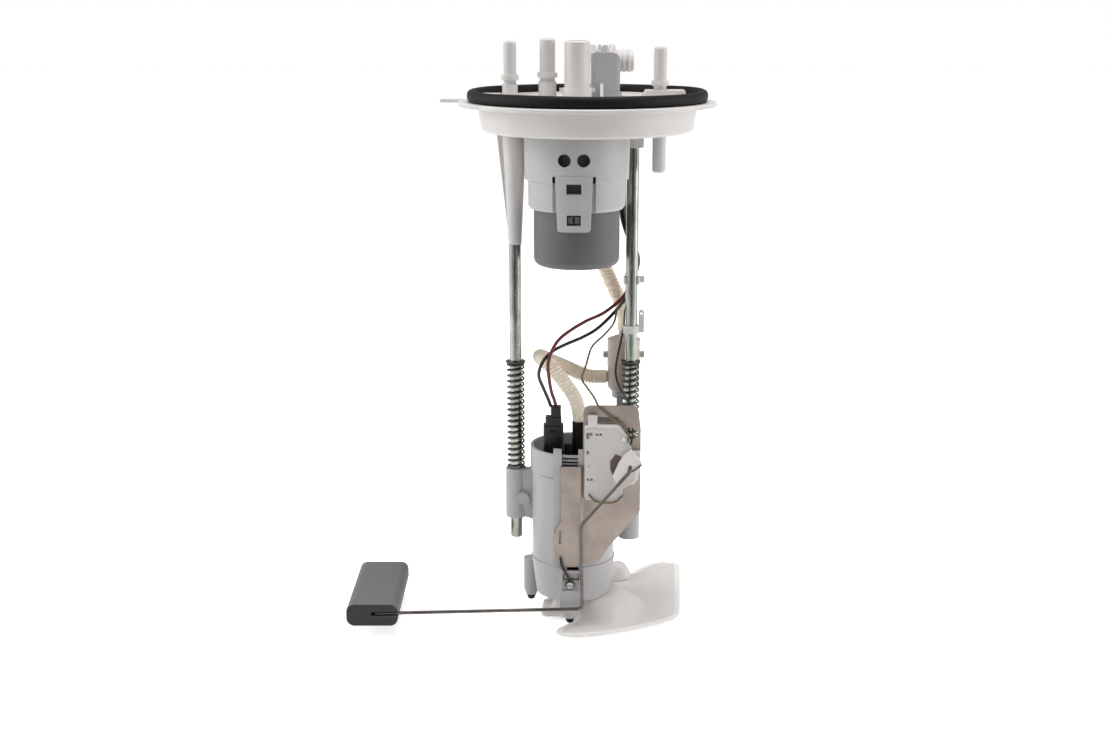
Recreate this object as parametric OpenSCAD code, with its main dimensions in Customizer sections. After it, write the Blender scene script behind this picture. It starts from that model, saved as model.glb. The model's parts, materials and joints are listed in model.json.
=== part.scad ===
// In-tank fuel pump module: a flange that closes the tank, two guide rods with springs,
// and a pump unit that slides on the rods and carries the strainer, the sender and the float.
// Millimetres, +Z up along the rods. The origin is the centre of the rim's underside.

/* [Flange] */
// Outer diameter of the flange rim
rim_d = 160; // [152:1:180]
// Thickness of the flange rim
rim_t = 2.4; // [1.6:0.2:4]
// Height of the deck's top face above the rim's underside
deck_h = 3.2; // [2.8:0.2:6]
// Diameter of the skirt where it leaves the rim
skirt_d = 136; // [130:1:142]
// Depth of the skirt below the rim
skirt_h = 15.6; // [10:0.2:20]
// Wall of the skirt
skirt_wall = 3; // [2:0.2:4]
// Mean diameter of the seal ring
seal_d = 143.5; // [142:0.5:146]
// Width of the seal ring's section
seal_w = 5.6; // [4:0.2:6]
// Height of the seal ring's section
seal_h = 7; // [4:0.2:8]

/* [Ports] */
// Outer diameter of the two small nipples
small_port_d = 7.89; // [7:0.01:9]
// Outer diameter of the large fuel nipple
large_port_d = 9.49; // [9:0.01:11]
// Outer diameter of the vent nipple
vent_port_d = 15.8; // [14:0.1:17]
// Length of a nipple from its bead to its tip
nipple_len = 22; // [18:0.5:26]
// Wall of a nipple
nipple_wall = 1.5; // [1:0.1:2]

/* [Vent canister] */
// Outer diameter of the vent canister
canister_d = 54; // [50:1:55]
// Height of the vent canister
canister_h = 79; // [70:1:90]
// Outer diameter of the canister holder's upper part
holder_d = 66.6; // [65:0.2:67]
// Wall of the canister holder
holder_wall = 2.2; // [1.6:0.2:3]
// Travel of the float inside the canister
vent_travel = 6; // [3:0.5:8]

/* [Guide rods] */
// Diameter of both guide rods
rod_d = 8; // [7:0.5:9]
// Running clearance on the radius between a sleeve and its rod
rod_gap = 0.06; // [0.02:0.01:0.1]
// Travel of the pump unit up the rods
slide_travel = 35; // [10:1:38]
// Outer diameter of a spring
spring_d = 11.8; // [11:0.1:13]
// Wire diameter of a spring
spring_wire = 1.3; // [1:0.1:1.6]
// Number of turns in a spring
spring_turns = 19; // [14:1:22]
// Height of the springs' upper seat, below the rim
spring_top = -164.5; // [-170:0.5:-158]

/* [Pump unit] */
// Outer diameter of the pump housing
housing_d = 53.6; // [52:0.2:54]
// Wall of the pump housing
housing_wall = 2; // [1.6:0.2:2.6]
// Diameter of the electric pump
pump_d = 38; // [36:0.5:40]
// Length of the electric pump's steel case
pump_len = 83; // [78:1:84]
// Diameter of the impeller
impeller_d = 31; // [26:1:33]
// Vanes on the impeller
vane_count = 30; // [16:1:36]
// Diameter of the pressure regulator
regulator_d = 21.6; // [18:0.2:22]
// Thickness of the sender bracket's sheet
bracket_t = 1.2; // [0.8:0.1:1.6]

/* [Float arm] */
// Diameter of the float wire
arm_wire = 2.2; // [1.8:0.1:2.4]
// Length of the float across the arm
float_len = 78; // [60:1:90]
// Width of the float
float_w = 33; // [26:1:38]
// Thickness of the float
float_t = 14.5; // [11:0.5:18]

/* [Strainer] */
// Thickness of the strainer pouch at its middle
pouch_t = 5; // [4:0.5:6]
// Thickness of the strainer's welded hem
hem_t = 1.2; // [0.8:0.1:1.6]

/* [Hidden] */

white = "#d5d2cf";
pale = "#b9bcc3";
grey = "#6b6a6c";
steel = "#8e9a95";
dark_steel = "#4a4f4a";
black = "#1b1a1a";
zinc = "#ada298";
cream = "#ead9cb";
brass = "#b59a5b";

// Gap between pieces that seat against each other
seat_gap = 0.02;
// Gap between flat or soft pieces on different bodies
body_gap = 0.3;
// Facets of round pieces
round_fn = 72;
small_fn = 32;

// Places of the flange's pieces, x and y
small_port_at = [-47.8, -2];
large_port_at = [-24.7, 0];
vent_port_at = [-6.4, -5];
third_port_at = [45, 0];
connector_at = [11.5, 12];
elbow_at = [10, 33];
hose_barb_at = [6, 36];
canister_at = vent_port_at;
left_rod_at = [-45.6, 8];
right_rod_at = [29.2, 8];
pump_at = [-8, 0];

rim_r = rim_d / 2;
skirt_r = skirt_d / 2;
skirt_taper = 2;
// Underside of the deck, a little above the rim's
deck_low = 0.8;
// How far pieces under the deck reach up into it
root = deck_low + 0.6;
bead_h = 3;
bead_over = 1.4;
small_bead_z = 17;
large_bead_z = 18.5;
third_bead_z = 13.5;
vent_top_z = 39.4;
vent_collar_z = 11;
lug_x = -93;
lug_w = 9;
lug_turn = 15;
duct_d = 9;
duct_z = root - duct_d / 2;
socket_bottom = -88;
socket_tip_d = rod_d + 0.6;
boss_bottom = -26.6;
boss_d = rod_d + 5.6;
spigot_d = rod_d - 3;
spigot_len = 30;
short_spigot_len = 14;
connector_w = 18;
connector_dp = 16;
connector_wall = 1.6;
connector_h = 28;
connector_floor = 5;
blade_count = 4;
blade_w = 2.8;
blade_t = 0.8;
blade_pitch = 3.7;

// Vent canister and its holder
holder_top = -13;
holder_step = -46;
holder_bottom = -63;
holder_turn = -4;
tongue_w = 23;
tongue_low_w = 20.2;
slot_side = 13.2;
tongue_bottom = -74;
canister_wall = 1.8;
canister_gap = 1.2;
lip_h = 3;
canister_top = -20;
canister_bottom = canister_top - canister_h;
vent_neck_d = vent_port_d - 2 * nipple_wall - 1.6;
lid_h = 3;
vent_float_d = canister_d - 2 * canister_wall - 4;
vent_seat_z = canister_top - 8;
needle_h = 14;
needle_lap = 3;
vent_leg = 4;
vent_float_h = vent_seat_z - vent_travel + needle_lap - needle_h - canister_bottom - canister_wall - vent_leg;
lower_r = holder_d / 2 - 2.9;

// Guide rods, springs and the sleeves of the pump unit
sleeve_top = -237;
left_sleeve_bottom = -270;
right_sleeve_bottom = -285;
sleeve_r = rod_d / 2 + 3;
rod_bottom_left = -285;
rod_bottom_right = -283;
ring_recess = 4;
ring_t = 1.2;
ring_r = rod_d / 2 + 1.7;
ring_groove = 0.5;
washer_t = 1.2;
washer_r = spring_d / 2 + 0.6;
spring_r = (spring_d - spring_wire) / 2;
spring_low = sleeve_top + spring_wire / 2 + seat_gap;
spring_high = spring_top - washer_t - spring_wire / 2 - seat_gap;

// Pump unit
housing_r = housing_d / 2;
housing_top = -235;
seam_z = -294;
ring_top = -218.4;
ring_outer_r = housing_r + 1.2;
seam_gap = 0.7;
pump_top = housing_top + 4;
pump_bottom = pump_top - pump_len;
cup_bottom = pump_bottom - 4.5;
cup_tip_r = housing_r - 2.6;
foot_z = cup_bottom - 9;
foot_h = 5;
pocket_z = seam_z - 6.2;
foot_tip_z = foot_z - 3.5;
rail_top = -214;
rail_front = -31;
rib_front = -34.8;
rib_x = -17;
rib_w = 13.4;
case_wall = 1.2;
pump_r = pump_d / 2;
shaft_r = 1.5;
shaft_gap = 0.04;
impeller_t = 3.6;
outlet_at = [-4, -3];
outlet_r = 3.4;
tube_r = 4.8;
tube_top = -202;
plug_at = [-21, -5];
magnet_t = 4;
magnet_h = pump_len - 41;
armature_r = pump_r - case_wall - magnet_t - 0.8;
inlet_h = 16;
neck_at = [-2, 8];
neck_r = 6;

// Pressure regulator
reg_at = [25.4, 26.4];
reg_r = regulator_d / 2;
reg_top = -150;
reg_bottom = -189;
reg_split = -172;
leg_x = 20.6;
leg_w = 4.2;
leg_bottom = -252;

// Sender, bracket and float arm
plate_back = -29.4;
plate_front = plate_back - bracket_t;
base_t = 2.6;
card_t = 0.7;
track_t = 0.12;
arm_y = -39.2;
pivot = [27.3, -222.5];
pivot_r = 2;
hub_back = plate_front - base_t - card_t - 0.9;
strip_front = rail_front - bracket_t - 0.2;
strip_right = -3.6;
joggle_right = -1.8;
bracket_hole = [28.1, -203.2];
bracket_hole_d = 8.5;
recess = 0.9;
float_at = [-137.6, foot_z + 6.7];
drop_point = [-2.6, foot_z + 9.9];
float_front = arm_y - 3;
arm_r = arm_wire / 2;
screw_at = [-10.3, seam_z - 9];

// Strainer
pouch_z = foot_tip_z - pouch_t / 2 - 0.7;
pouch_outline = [[-18.6, -41.5], [-16.5, -44.3], [-6.6, -44.3], [2.6, -43.5], [16.5, -39.4], [33.4, -31.9],
  [47.2, -24.3], [57, -18.3], [62.2, -10], [63.7, -1.7], [65.7, 23.7], [67.9, 52.3], [70.3, 84.5], [68.5, 87],
  [64.1, 88.6], [57.6, 90.4], [50.7, 87.6], [43.7, 81.4], [38.9, 75.2], [34.9, 68.1], [28, 67], [18, 65],
  [12, 58], [10, 48], [4, 38], [-8, 31], [-20, 26], [-27.4, 18.1], [-28.5, 6], [-29.6, -3], [-29.4, -7],
  [-28.2, -12.3], [-24.5, -11.5], [-19, -11], [-13, -14], [-10, -20], [-12.4, -26], [-15.7, -29.4],
  [-18.1, -32], [-19.4, -37.7]];
hem_w = 4.2;
mound_at = [2, 1];
mound_low_r = 26;
mound_top_r = 19;
knob_at = [24, 54];
knob_r = 9.2;
knob_h = 11;

// Routes of hoses and wires, by hand
feed_route = [[6, 36, -22], [6, 36, -40], [7, 35, -62], [9, 32, -84], [12, 27, -104], [17, 24, -116],
  [22.5, 25, -128], [25.4, 26.4, -138], [25.4, 26.4, -148]];
outlet_route = [[-4, -3, -206], [-4.4, -3, -196], [-7, -3, -187], [-13, -2.5, -178], [-20, -0.5, -169.5],
  [-26, 4, -164], [-29.5, 10, -162.5], [-28, 16, -164], [-21, 21, -168.5], [-12, 24.5, -173],
  [-3, 26, -177.5], [4, 26.4, -179.5], [14.2, 26.4, -179.5]];
harness_route = [[16, 18.9, -7], [17.5, 24, -7.6], [23, 30, -12], [31, 28, -24], [34, 21, -40],
  [33, 17, -60], [31, 16.2, -84], [29.2, 16.2, -104], [29.2, 16.2, -113.5]];
red_route = [[28.2, 15.2, -114], [24.3, 15, -123.6], [12, 10, -133], [0, 4, -137.5], [-11, -2, -143],
  [-18, -5, -148], [-22.5, -7, -155], [-24.5, -8, -163], [-23.8, -8, -172], [-22.4, -7, -181],
  [-20.4, -6, -187.5], [-19.4, -5.6, -191.4]];
black_route = [[28.3, 17.35, -114], [25, 17.8, -125.5], [19.5, 15.5, -133], [8, 9, -143], [-2, 4, -148],
  [-12.6, -3, -151.2], [-20.6, -10, -154.3], [-26.4, -12, -159], [-29.6, -12, -165], [-30.2, -11.5, -171],
  [-27, -10, -179.5], [-24, -7.5, -187.4], [-22.9, -5.6, -191.4]];
olive_route = [[30.4, 15.1, -114], [29.2, 13.4, -118.6], [26.6, 12.4, -124.6], [20.5, 11.2, -131],
  [18, 6, -139], [12.2, 0, -145],
  [4.3, -6, -151.3], [1.7, -11, -156], [-0.3, -15, -162.3], [-2.9, -19, -170], [0.6, -24, -175],
  [4.4, -28.5, -179.5], [7.8, -32.2, -185.2], [12.3, -32.4, -189.4], [17.5, -32.8, -193.6],
  [22.8, -33.4, -197.6], [25.8, -34.2, -201.8], [26.2, -34.4, -207.4]];
thin_route = [[30.1, 17, -114], [28, 14.8, -125], [25.4, 13.4, -133], [24.8, 12.4, -142], [22.5, 9, -153],
  [19.4, 0, -165.6], [19.2, -8, -171.6], [21.4, -18, -177], [25, -25, -181.5], [27.8, -27.2, -187],
  [28.8, -27.4, -195], [29, -28.4, -200.2], [28.9, -31.2, -203.6], [28.4, -33.7, -206.4],
    [27.4, -34.1, -209.4]];
card_route = [[1.5, -34.8, -241.8], [4.7, -34.9, -245.4], [8.4, -35, -246.9], [14.2, -35, -247.4],
  [19.5, -34.9, -246.2], [23, -34.9, -242.6]];
ground_route = [[-16.4, -33.9, -285], [-15.8, -34.9, -288.6], [-14.4, -36.1, -292], [-12, -36.1, -296.6],
  [-11, -34.6, -299.2]];
hose_r = 4.9;
barb_r = 3.7;
spigot_r = 3.4;
side_z = 9.5;
side_len = 9;
lead_r = 1.1;
thin_r = 0.7;

// Rounded rectangle about the origin
module round_square(w, d, r) {
  square([w - 2 * r, d], center = true);
  square([w, d - 2 * r], center = true);
  for (x = [-1, 1], y = [-1, 1])
    translate([x * (w / 2 - r), y * (d / 2 - r)]) circle(r, $fn = small_fn);
}

// Straight tube standing on z = 0
module tube(r, bore, h, fn = round_fn) {
  difference() {
    cylinder(r = r, h = h, $fn = fn);
    translate([0, 0, -1]) cylinder(r = bore, h = h + 2, $fn = fn);
  }
}

// Vertical plate: a 2D outline in x and z, from y_front back over t
module upright(y_front, t) {
  translate([0, y_front + t, 0]) rotate([90, 0, 0]) linear_extrude(t) children();
}

// Smooth curve through a list of points
function lerp_curve(a, b, c, d, t) =
  0.5 * (2 * b + (c - a) * t + (2 * a - 5 * b + 4 * c - d) * t * t + (3 * b - a - 3 * c + d) * t * t * t);
function smooth(p, n) = concat([for (i = [0 : len(p) - 2], k = [0 : n - 1])
  lerp_curve(p[max(i - 1, 0)], p[i], p[i + 1], p[min(i + 2, len(p) - 1)], k / n)], [p[len(p) - 1]]);
function unit(v) = v / norm(v);
function heading(p, i) = unit(p[min(i + 1, len(p) - 1)] - p[max(i - 1, 0)]);
function side_step(u, t) = unit(u - (u * t) * t);
function sides(p, i, u) =
  let (s = side_step(u, heading(p, i))) i == len(p) - 1 ? [s] : concat([s], sides(p, i + 1, s));

// Closed tube swept along a path, with a radius for each ring
module sweep(p, r, n) {
  s = sides(p, 0, [0.31, 0.9, 0.17]);
  rings = [for (i = [0 : len(p) - 1], k = [0 : n - 1])
    p[i] + r[i] * (cos(360 * k / n) * s[i] + sin(360 * k / n) * cross(heading(p, i), s[i]))];
  walls = [for (i = [0 : len(p) - 2], k = [0 : n - 1])
    [i * n + k, (i + 1) * n + k, (i + 1) * n + (k + 1) % n, i * n + (k + 1) % n]];
  caps = [[for (k = [0 : n - 1]) k], [for (k = [n - 1 : -1 : 0]) (len(p) - 1) * n + k]];
  polyhedron(rings, concat(walls, caps), convexity = 6);
}

// Wire of one radius along a route
module wire(route, r, per = 3) {
  p = smooth(route, per);
  sweep(p, [for (q = p) r], 8);
}

// Corrugated hose with smooth cuffs at both ends
module corrugated(route, r, per) {
  p = smooth(route, per);
  sweep(p, [for (i = [0 : len(p) - 1]) i < 3 || i > len(p) - 4 ? r - 0.5 : i % 2 == 0 ? r : r - 1.1], 10);
}

// Helix from z0 up to z1 about the origin
module helix(r, wire_r, z0, z1, turns, steps) {
  n = turns * steps;
  p = [for (i = [0 : n]) [r * cos(360 * i / steps), r * sin(360 * i / steps), z0 + (z1 - z0) * i / n]];
  sweep(p, [for (q = p) wire_r], 6);
}

// Quick-connect nipple standing on the deck, with its bead
module nipple(d, bead_z) {
  cylinder(d = d + 1.6, h = bead_z - 4, $fn = round_fn);
  cylinder(d = d, h = bead_z + nipple_len - 1, $fn = round_fn);
  translate([0, 0, bead_z + nipple_len - 1]) cylinder(d1 = d, d2 = d - 1.4, h = 1, $fn = round_fn);
  translate([0, 0, bead_z - bead_h / 2]) cylinder(d = d + 2 * bead_over, h = bead_h, $fn = round_fn);
}

module flange_cap() {
  color(white) difference() {
    union() {
      rotate_extrude($fn = 120) polygon([[0, deck_low], [skirt_r - skirt_wall, deck_low],
        [skirt_r - skirt_wall - skirt_taper, -skirt_h], [skirt_r - skirt_taper - 1.6, -skirt_h],
        [skirt_r - skirt_taper, -skirt_h + 1.6], [skirt_r, 0], [rim_r - 0.4, 0], [rim_r, 0.4],
        [rim_r, rim_t - 0.4], [rim_r - 0.4, rim_t], [seal_d / 2 - seal_w / 2 - 1, rim_t],
        [seal_d / 2 - seal_w / 2 - 1, deck_h + 1.4], [seal_d / 2 - seal_w / 2 - 2.6, deck_h + 1.4],
        [seal_d / 2 - seal_w / 2 - 2.6, deck_h], [0, deck_h]]);
      // Locating lug on the rim
      rotate([0, 0, 180 - lug_turn]) translate([rim_r - 4, -lug_w / 2, 0.4])
        cube([-lug_x - rim_r + 6, lug_w, rim_t - 0.4]);
      // Ribs between the deck and the skirt
      for (a = [15 : 30 : 345])
        rotate([0, 0, a]) translate([52, -0.9, -9]) cube([skirt_r - skirt_wall - 52.6, 1.8, 9 + root]);
      // Nipples
      translate(small_port_at) nipple(small_port_d, small_bead_z);
      translate(large_port_at) nipple(large_port_d, large_bead_z);
      translate(third_port_at) nipple(small_port_d, third_bead_z);
      translate([third_port_at[0], third_port_at[1], -40.5])
        cylinder(d = small_port_d + 0.5, h = 40.5 + root, $fn = round_fn);
      translate([third_port_at[0], third_port_at[1], -41.5])
        cylinder(d1 = small_port_d - 1.1, d2 = small_port_d + 0.5, h = 1, $fn = round_fn);
      translate([third_port_at[0], third_port_at[1], -skirt_h])
        cylinder(d = small_port_d + 4, h = skirt_h + root, $fn = round_fn);
      translate(vent_port_at) cylinder(d = vent_port_d, h = vent_top_z - 1, $fn = round_fn);
      translate(vent_port_at) translate([0, 0, vent_top_z - 1])
        cylinder(d1 = vent_port_d, d2 = vent_port_d - 2, h = 1, $fn = round_fn);
      translate(vent_port_at) cylinder(d = vent_port_d + 2.4, h = vent_collar_z, $fn = round_fn);
      for (a = [0, 180]) translate(vent_port_at) rotate([0, 0, a])
        translate([vent_port_d / 2 - 1, -1.5, vent_collar_z - 2.4]) cube([4, 3, 2.2]);
      // Pads and ribs on the deck
      translate([third_port_at[0] + 2.5, third_port_at[1], deck_h - 0.5]) upright(-8, 16)
        polygon([[-14.5, 0], [14.5, 0], [12.4, 6.6], [-11.5, 6.6]]);
      translate([-59, 0, deck_h - 0.5]) linear_extrude(4.6) round_square(13, 9, 2);
      translate([connector_at[0] - 3.6, connector_at[1] - connector_dp / 2 - 7, 0])
        rotate([90, 0, 90]) linear_extrude(2)
          polygon([[0, deck_h - 0.2], [5.5, deck_h - 0.2], [5.5, 7.6], [6.7, 7.6], [6.7, 13]]);
      // Ducts under the deck
      translate([large_port_at[0], large_port_at[1], duct_z]) rotate([0, 90, duct_turn()])
        cylinder(d = duct_d, h = duct_len(), $fn = small_fn);
      translate([hose_barb_at[0], hose_barb_at[1], -12])
        cylinder(d = duct_d + 1, h = 12 + root, $fn = small_fn);
      translate([hose_barb_at[0], hose_barb_at[1], -24]) hose_barb(barb_r, 12);
      translate([small_port_at[0], small_port_at[1], duct_z]) rotate([90, 0, 0])
        cylinder(d = duct_d + 0.2, h = 16, $fn = small_fn);
      // Rod socket, rod boss and the four posts of the canister holder
      translate([left_rod_at[0], left_rod_at[1], socket_bottom])
        cylinder(d1 = socket_tip_d, d2 = socket_tip_d + 8.4, h = -socket_bottom + root, $fn = round_fn);
      upright(left_rod_at[1] - 1.3, 2.6) polygon([[left_rod_at[0] - 12, root - 0.2],
        [left_rod_at[0] - 10.8, -20], [left_rod_at[0] - 4.1, socket_bottom + 5.3],
        [left_rod_at[0] - 3.2, socket_bottom + 5.3], [left_rod_at[0] - 6, root - 0.2]]);
      translate([right_rod_at[0], right_rod_at[1], boss_bottom]) cylinder(d = boss_d, h = 4, $fn = round_fn);
      translate([right_rod_at[0], right_rod_at[1], boss_bottom + 4])
        cylinder(d1 = boss_d, d2 = boss_d + 2.4, h = -boss_bottom - 4 + root, $fn = round_fn);
      for (a = [75 : 90 : 345]) translate(canister_at) rotate([0, 0, a])
        translate([holder_d / 2 - holder_wall - 1.3, -3, holder_top + seat_gap])
          cube([holder_wall + 0.8, 6, -holder_top + root]);
    }
    // Room for the canister holder beside the rod socket
    translate([canister_at[0], canister_at[1], holder_bottom])
      cylinder(r = holder_d / 2 + body_gap, h = holder_top - holder_bottom, $fn = 96);
    // Bores
    translate(small_port_at) translate([0, 0, duct_z])
      cylinder(d = small_port_d - 2 * nipple_wall, h = 60, $fn = small_fn);
    translate([small_port_at[0], small_port_at[1] + 0.1, duct_z]) rotate([90, 0, 0])
      cylinder(d = small_port_d - 2 * nipple_wall - 0.4, h = 20, $fn = small_fn);
    translate(large_port_at) translate([0, 0, duct_z])
      cylinder(d = large_port_d - 2 * nipple_wall, h = 60, $fn = small_fn);
    translate([large_port_at[0], large_port_at[1], duct_z]) rotate([0, 90, duct_turn()])
      cylinder(d = duct_d - 3.4, h = duct_len(), $fn = small_fn);
    translate([hose_barb_at[0], hose_barb_at[1], -40]) cylinder(d = 5, h = 40 + duct_z, $fn = small_fn);
    translate(third_port_at) translate([0, 0, -60])
      cylinder(d = small_port_d - 2 * nipple_wall, h = 120, $fn = small_fn);
    translate(vent_port_at) translate([0, 0, -1])
      cylinder(d = vent_port_d - 2 * nipple_wall, h = 60, $fn = round_fn);
    // Bores for the rods' spigots and slots for the terminals
    translate([left_rod_at[0], left_rod_at[1], socket_bottom - 1])
      cylinder(d = spigot_d + 2 * seat_gap, h = spigot_len + 1.2, $fn = round_fn);
    translate([right_rod_at[0], right_rod_at[1], boss_bottom - 1])
      cylinder(d = spigot_d + 2 * seat_gap, h = short_spigot_len + 1.2, $fn = round_fn);
    translate([connector_at[0], connector_at[1], -1])
      linear_extrude(deck_h + 2) square([blade_count * blade_pitch + 1, 4], center = true);
  }
}
function duct_turn() = atan2(hose_barb_at[1] - large_port_at[1], hose_barb_at[0] - large_port_at[0]);
function duct_len() = norm(hose_barb_at - large_port_at);

// Hose barb pointing down, with saw teeth
module hose_barb(r, h) {
  rotate_extrude($fn = small_fn) polygon(concat([[0, 0]],
    [for (i = [0 : 3]) each [[r - 0.7, i * h / 4], [r, (i + 0.8) * h / 4], [r - 0.7, (i + 0.85) * h / 4]]],
    [[r - 0.7, h], [0, h]]));
}

module seal_ring() {
  color(black) rotate_extrude($fn = 120) translate([seal_d / 2, rim_t + seat_gap + seal_h / 2])
    round_square(seal_w, seal_h, seal_w * 0.42);
}

module connector_shell() {
  color("#96969b") translate([connector_at[0], connector_at[1], deck_h + seat_gap]) {
    difference() {
      union() {
        linear_extrude(connector_h) round_square(connector_w, connector_dp, 3);
        linear_extrude(4) round_square(connector_w + 2.4, connector_dp + 2.4, 3);
      }
      // Rounded corner at the keyed end
      translate([connector_w / 2 - 4, 0, connector_h - 4]) difference() {
        translate([0, -connector_dp, 0]) cube([6, 2 * connector_dp, 6]);
        rotate([90, 0, 0]) cylinder(r = 4, h = 3 * connector_dp, center = true, $fn = round_fn);
      }
      translate([0, 0, connector_floor]) linear_extrude(connector_h)
        round_square(connector_w - 2 * connector_wall, connector_dp - 2 * connector_wall, 1.6);
      blade_slots(0.04);
    }
  }
}

// Slots for the four terminals through the connector's floor
module blade_slots(gap) {
  for (i = [0 : blade_count - 1]) translate([blade_pitch * (i - (blade_count - 1) / 2), 0, -1])
    linear_extrude(connector_floor + 2) square([blade_w + 2 * gap, blade_t + 2 * gap], center = true);
}

module connector_terminals() {
  color(brass) for (i = [0 : blade_count - 1])
    translate([connector_at[0] + blade_pitch * (i - (blade_count - 1) / 2), connector_at[1], -5])
      linear_extrude(deck_h + connector_floor + 18) square([blade_w, blade_t], center = true);
}

module vent_elbow() {
  color(white) difference() {
    translate([elbow_at[0], elbow_at[1], deck_h + seat_gap]) {
      cylinder(r = 9, h = 3, $fn = round_fn);
      cylinder(r = 7.4, h = 28.8, $fn = round_fn);
      // Crown of six prongs
      difference() {
        cylinder(r = 8.4, h = 32.6, $fn = round_fn);
        translate([0, 0, 22]) cylinder(r = 6.4, h = 12, $fn = round_fn);
        translate([0, 0, -1]) cylinder(r = 9, h = 23, $fn = round_fn);
        for (a = [0 : 60 : 120]) rotate([0, 0, a + 12]) translate([-10, 0, 26.6]) rotate([90, 0, 90])
          linear_extrude(20) polygon([[-0.6, 0], [0.6, 0], [3.3, 7], [-3.3, 7]]);
      }
      // Ribbed hose barb to the right
      translate([0, 0, 22.5]) rotate([0, 90, 0]) for (i = [0 : 3])
        translate([0, 0, 6.5 + 3.3 * i]) cylinder(r1 = 7.2, r2 = 6.3, h = 3.3, $fn = round_fn);
      translate([0, 0, 22.5]) rotate([0, 90, 0]) cylinder(r = 6, h = 20, $fn = round_fn);
    }
    translate([elbow_at[0], elbow_at[1], deck_h + 22.5 + seat_gap]) rotate([0, 90, 0])
      cylinder(r = 4, h = 60, $fn = small_fn);
    translate([elbow_at[0], elbow_at[1], 0]) cylinder(r = 4.4, h = deck_h + 22.5, $fn = small_fn);
  }
}

module canister_holder() {
  r = holder_d / 2;
  color(white) translate(canister_at) rotate([0, 0, holder_turn]) difference() {
    union() {
      rotate_extrude($fn = 96) polygon([[r - holder_wall, holder_top], [r, holder_top],
        [r - 0.8, holder_step + 1.4],
        [lower_r, holder_step], [lower_r, holder_bottom + 2], [lower_r - 1.4, holder_bottom],
        [canister_d / 2 + canister_gap, holder_bottom], [canister_d / 2 + canister_gap, holder_step],
        [r - 0.8 - holder_wall, holder_step + 3]]);
      // Tongue with the snap window
      intersection() {
        translate([0, 0, tongue_bottom])
          tube(r - 0.3, r - 0.3 - 2 * holder_wall, holder_step - tongue_bottom + 6, 96);
        upright(-r - 5, 12) polygon([[-tongue_w / 2, -40], [-tongue_low_w / 2, tongue_bottom + 1],
          [-tongue_low_w / 2 + 1, tongue_bottom], [tongue_low_w / 2 - 1, tongue_bottom],
          [tongue_low_w / 2, tongue_bottom + 1], [tongue_w / 2, -40]]);
      }
    }
    // Slots beside the tongue
    for (s = [-1, 1]) upright(-r - 5, 12) polygon([[s * tongue_w / 2, -40.5], [s * slot_side, -40.5],
      [s * slot_side, holder_bottom + 1.6], [s * (slot_side + 1.6), holder_bottom],
        [s * (slot_side + 1.6), holder_bottom - 12],
      [s * tongue_low_w / 2, holder_bottom - 12], [s * tongue_low_w / 2, tongue_bottom + 1]]);
    // Two round holes
    for (s = [-1, 1]) translate([s * 5.8, 0, -30.7]) rotate([90, 0, 0])
      cylinder(d = 7.9, h = r + 5, $fn = round_fn);
    // Windows for the canister's lug
    translate([-4.3, -r - 5, -70]) cube([8.6, 12, 6.4]);
    translate([-4.6, -r - 5, -51]) cube([9.2, 12, 6.2]);
    // The canister's own space
    translate([0, 0, tongue_bottom - 1])
      cylinder(r = canister_d / 2 + canister_gap, h = holder_step - tongue_bottom + 1, $fn = 96);
  }
}

module canister_shell() {
  r = canister_d / 2;
  color(grey) translate(canister_at) difference() {
    union() {
      rotate_extrude($fn = 96) difference() {
        union() {
          translate([0, canister_bottom + 5]) square([r, canister_h - 5]);
          square_corner(r, canister_bottom, 5);
          translate([0, canister_top - lip_h]) square([holder_d / 2 - holder_wall - 0.9, lip_h]);
        }
        translate([0, canister_bottom + canister_wall]) square([r - canister_wall, canister_h]);
      }
      // Lug that snaps into the tongue's window
      rotate([0, 0, holder_turn]) translate([-3.6, -holder_d / 2 + 1.8, -69]) cube([3.1, 6, 4.6]);
      rotate([0, 0, holder_turn]) translate([0.5, -holder_d / 2 + 1.8, -69]) cube([3.1, 6, 4.6]);
    }
    translate([0, 0, canister_bottom - 1]) cylinder(r = 3, h = canister_wall + 2, $fn = small_fn);
    translate([0, 0, canister_bottom + canister_wall])
      cylinder(r = r - canister_wall, h = canister_h, $fn = 96);
  }
}

// Half outline of a disc's rounded lower corner
module square_corner(r, z, c) {
  translate([0, z]) square([r - c, c + 0.1]);
  intersection() {
    translate([r - c, z + c]) circle(c, $fn = 48);
    translate([r - c - 0.1, z]) square([c + 0.1, c + 0.1]);
  }
}

module canister_lid() {
  color(grey) translate([canister_at[0], canister_at[1], canister_top + seat_gap]) difference() {
    union() {
      cylinder(r = holder_d / 2 - holder_wall - 0.9, h = lid_h, $fn = 96);
      cylinder(d = vent_neck_d, h = -canister_top + deck_h + 4, $fn = round_fn);
      translate([0, 0, vent_seat_z - canister_top]) cylinder(d = vent_neck_d + 3, h = 9, $fn = round_fn);
    }
    translate([0, 0, 1]) cylinder(d = vent_neck_d - 3, h = 60, $fn = round_fn);
    translate([0, 0, vent_seat_z - canister_top - 1]) cylinder(r = needle_lap, h = 12, $fn = round_fn);
  }
}

module canister_seal() {
  color(black) translate([canister_at[0], canister_at[1], deck_h])
    tube(vent_port_d / 2 - nipple_wall - seat_gap, vent_neck_d / 2 + seat_gap, 2.4);
}

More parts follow.
